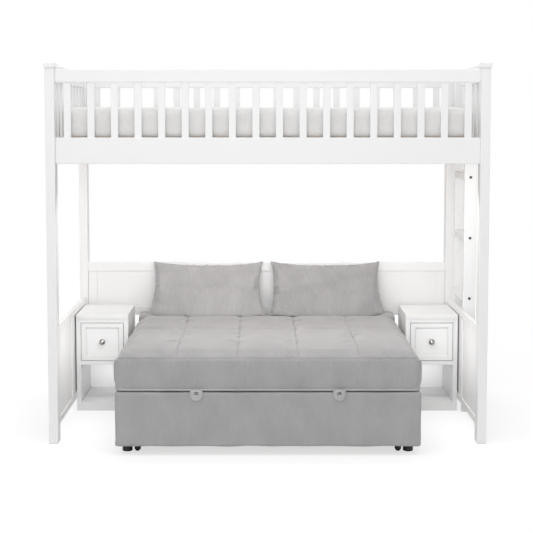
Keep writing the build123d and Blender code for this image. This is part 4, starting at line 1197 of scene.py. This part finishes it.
class LOFT_OT_finish_hardware(bpy.types.Operator):
    """Finish the knobs, bolts, brackets, channels, feet and casters"""

    bl_idname = "loft.finish_hardware"
    bl_label = "Hardware"

    def execute(self, context):
        look = context.scene.loft_hardware
        finishes = (
            (KNOBS, metal_material("pewter", look.pewter, 0.20)),
            (BOLTS, metal_material("bolt steel", look.bolt, 0.45)),
            (ZINC_PARTS, metal_material("zinc plate", look.zinc, 0.38, ACROSS_BED)),
            (PLASTIC_PARTS, plastic_material("moulded plastic", look.plastic, 0.42)),
            (WHEELS, plastic_material("wheel tread", look.plastic, 0.6)),
        )
        for names, material in finishes:
            for name in names:
                finish_node(name, material)
        return {"FINISHED"}


# Stage

def mixed_shader(tree, share, first, second):
    """A mix of two shaders by a share of the second."""
    sockets = {0: share, 1: first.outputs[0], 2: second.outputs[0]}
    return add_node(tree, "MixShader", sockets)


def floor_material():
    """Pale floor that keeps a soft shadow and runs out to white."""
    material = bpy.data.materials.new("studio floor")
    tree = empty_tree(material)
    ground = add_node(tree, "BsdfDiffuse", {"Color": (0.78, 0.78, 0.78, 1)})
    shown = add_node(tree, "BsdfDiffuse", {"Color": (0.40, 0.40, 0.40, 1)})
    white = add_node(tree, "Emission", {"Strength": 0.64})
    both = add_node(tree, "AddShader", {0: shown.outputs[0], 1: white.outputs[0]})
    place = add_node(tree, "TexCoord").outputs["Object"]
    far = add_node(tree, "VectorMath", {0: place}, operation="LENGTH").outputs["Value"]
    open_white = add_node(tree, "Emission", {"Strength": 1.0})
    seen = mixed_shader(tree, spread(tree, far, 0.0, 1.0, 1.6, 3.6), both, open_white)
    path = add_node(tree, "LightPath")
    mixed = mixed_shader(tree, path.outputs["Is Camera Ray"], ground, seen)
    add_node(tree, "OutputMaterial", {"Surface": mixed.outputs[0]})
    return material


def studio_world(strength):
    """Soft light from all round, white where the camera, metal or glass sees it."""
    world = bpy.data.worlds.new("studio")
    tree = empty_tree(world)
    light, shown = (
        add_node(tree, "Background", {"Color": (1, 1, 1, 1), "Strength": level})
        for level in (strength, 1.0))
    path = add_node(tree, "LightPath").outputs
    seen = calculate(tree, "MAXIMUM", path["Is Camera Ray"], path["Is Glossy Ray"])
    seen = calculate(tree, "MAXIMUM", seen, path["Is Transmission Ray"])
    mixed = mixed_shader(tree, seen, light, shown)
    add_node(tree, "OutputWorld", {"Surface": mixed.outputs[0]})
    bpy.context.scene.world = world


def add_softbox(name, place, aim, size, power, beam=180):
    """A soft rectangular light that points at a place."""
    light = bpy.data.lights.new(name, "AREA")
    light.shape = "RECTANGLE"
    light.size, light.size_y = size
    light.energy = power
    light.spread = math.radians(beam)
    lamp = add_object(name, light)
    lamp.location = place
    lamp.rotation_euler = (Vector(aim) - Vector(place)).to_track_quat("-Z", "Y").to_euler()
    lamp.visible_camera = False


# The large lights by name, place, aim, and width and height
LIGHTS = (
    ("front", (-0.5, -6.2, 1.5), (0, 0, 0.9), (4.5, 2.4)),
    ("overhead", (-0.3, -1.6, 4.6), (0, -0.6, 0.4), (3.6, 1.8)),
    ("back", (0, 1.6, 4.2), (0, 0, 0.6), (4.0, 2.0)),
    ("strip", (0, -0.36, 1.24), (0, 0.5, 0.45), (1.8, 0.12)),
)
# The lights of a nightstand by name, place along Y, height, size and beam in degrees
BAY_LIGHTS = (
    ("shelf", 0.206, 0.17, (0.20, 0.12), 75),
    ("drawer", -0.85, 0.37, (0.22, 0.20), 12),
)
# Each nightstand by its side, its middle and the inner face of the end panel beside it
BAYS = (("left", -0.895, -1.033), ("right", 0.847, 0.984))


class LOFT_OT_set_stage(bpy.types.Operator):
    """Add the floor, the lights and the camera"""

    bl_idname = "loft.set_stage"
    bl_label = "Studio"

    def execute(self, context):
        look = context.scene.loft_studio
        start_fresh()
        bpy.ops.mesh.primitive_plane_add(size=80)
        floor = bpy.context.object
        floor.name = "studio_floor"
        floor.data.materials.append(floor_material())
        studio_world(look.daylight)
        for name, place, aim, size in LIGHTS:
            add_softbox(name, place, aim, size, getattr(look, name))
        for side, middle, panel in BAYS:
            for name, start, height, size, beam in BAY_LIGHTS:
                place, aim = (middle, start, height), (middle, 1, height)
                add_softbox(f"{name}_{side}", place, aim, size, getattr(look, name), beam)
            beside = panel - math.copysign(0.26, panel)
            place, aim = (beside, -0.18, 0.47), (panel, -0.18, 0.32)
            add_softbox(f"end_{side}", place, aim, (0.4, 0.08), look.end, 150)

        camera = add_object("photo_camera", bpy.data.cameras.new("photo_camera"))
        camera.location = look.camera
        camera.rotation_euler = (math.radians(90) - look.tilt, 0, 0)
        camera.data.lens = look.lens
        camera.data.sensor_width = 36
        camera.data.shift_x, camera.data.shift_y = look.shift
        context.scene.camera = camera
        context.scene.view_settings.view_transform = "Standard"
        return {"FINISHED"}


OPERATORS = (
    LOFT_OT_paint_woodwork,
    LOFT_OT_finish_hardware,
    LOFT_OT_make_mattress,
    LOFT_OT_make_seat,
    LOFT_OT_make_sofa_body,
    LOFT_OT_make_pull_tabs,
    LOFT_OT_make_pillows,
    LOFT_OT_set_stage,
)


class VIEW3D_PT_loft_bed(bpy.types.Panel):
    """Lists the loft bed's pieces and their settings"""

    bl_label = "Loft Bed"
    bl_space_type = "VIEW_3D"
    bl_region_type = "UI"
    bl_category = "Loft Bed"

    def draw(self, context):
        for operator in OPERATORS:
            self.layout.operator(operator.bl_idname)
        for name, group in SETTINGS.items():
            column = self.layout.column(align=True)
            for value in group.__annotations__:
                column.prop(getattr(context.scene, name), value)


CLASSES = (*SETTINGS.values(), *OPERATORS, VIEW3D_PT_loft_bed)


def register():
    for item in CLASSES:
        bpy.utils.register_class(item)
    for name, group in SETTINGS.items():
        setattr(bpy.types.Scene, name, PointerProperty(type=group))


def unregister():
    for name in SETTINGS:
        delattr(bpy.types.Scene, name)
    for item in reversed(CLASSES):
        bpy.utils.unregister_class(item)


def main():
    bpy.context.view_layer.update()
    register()
    for operator in OPERATORS:
        group, name = operator.bl_idname.split(".")
        getattr(getattr(bpy.ops, group), name)()
    start_fresh()


if __name__ == "__main__":
    main()
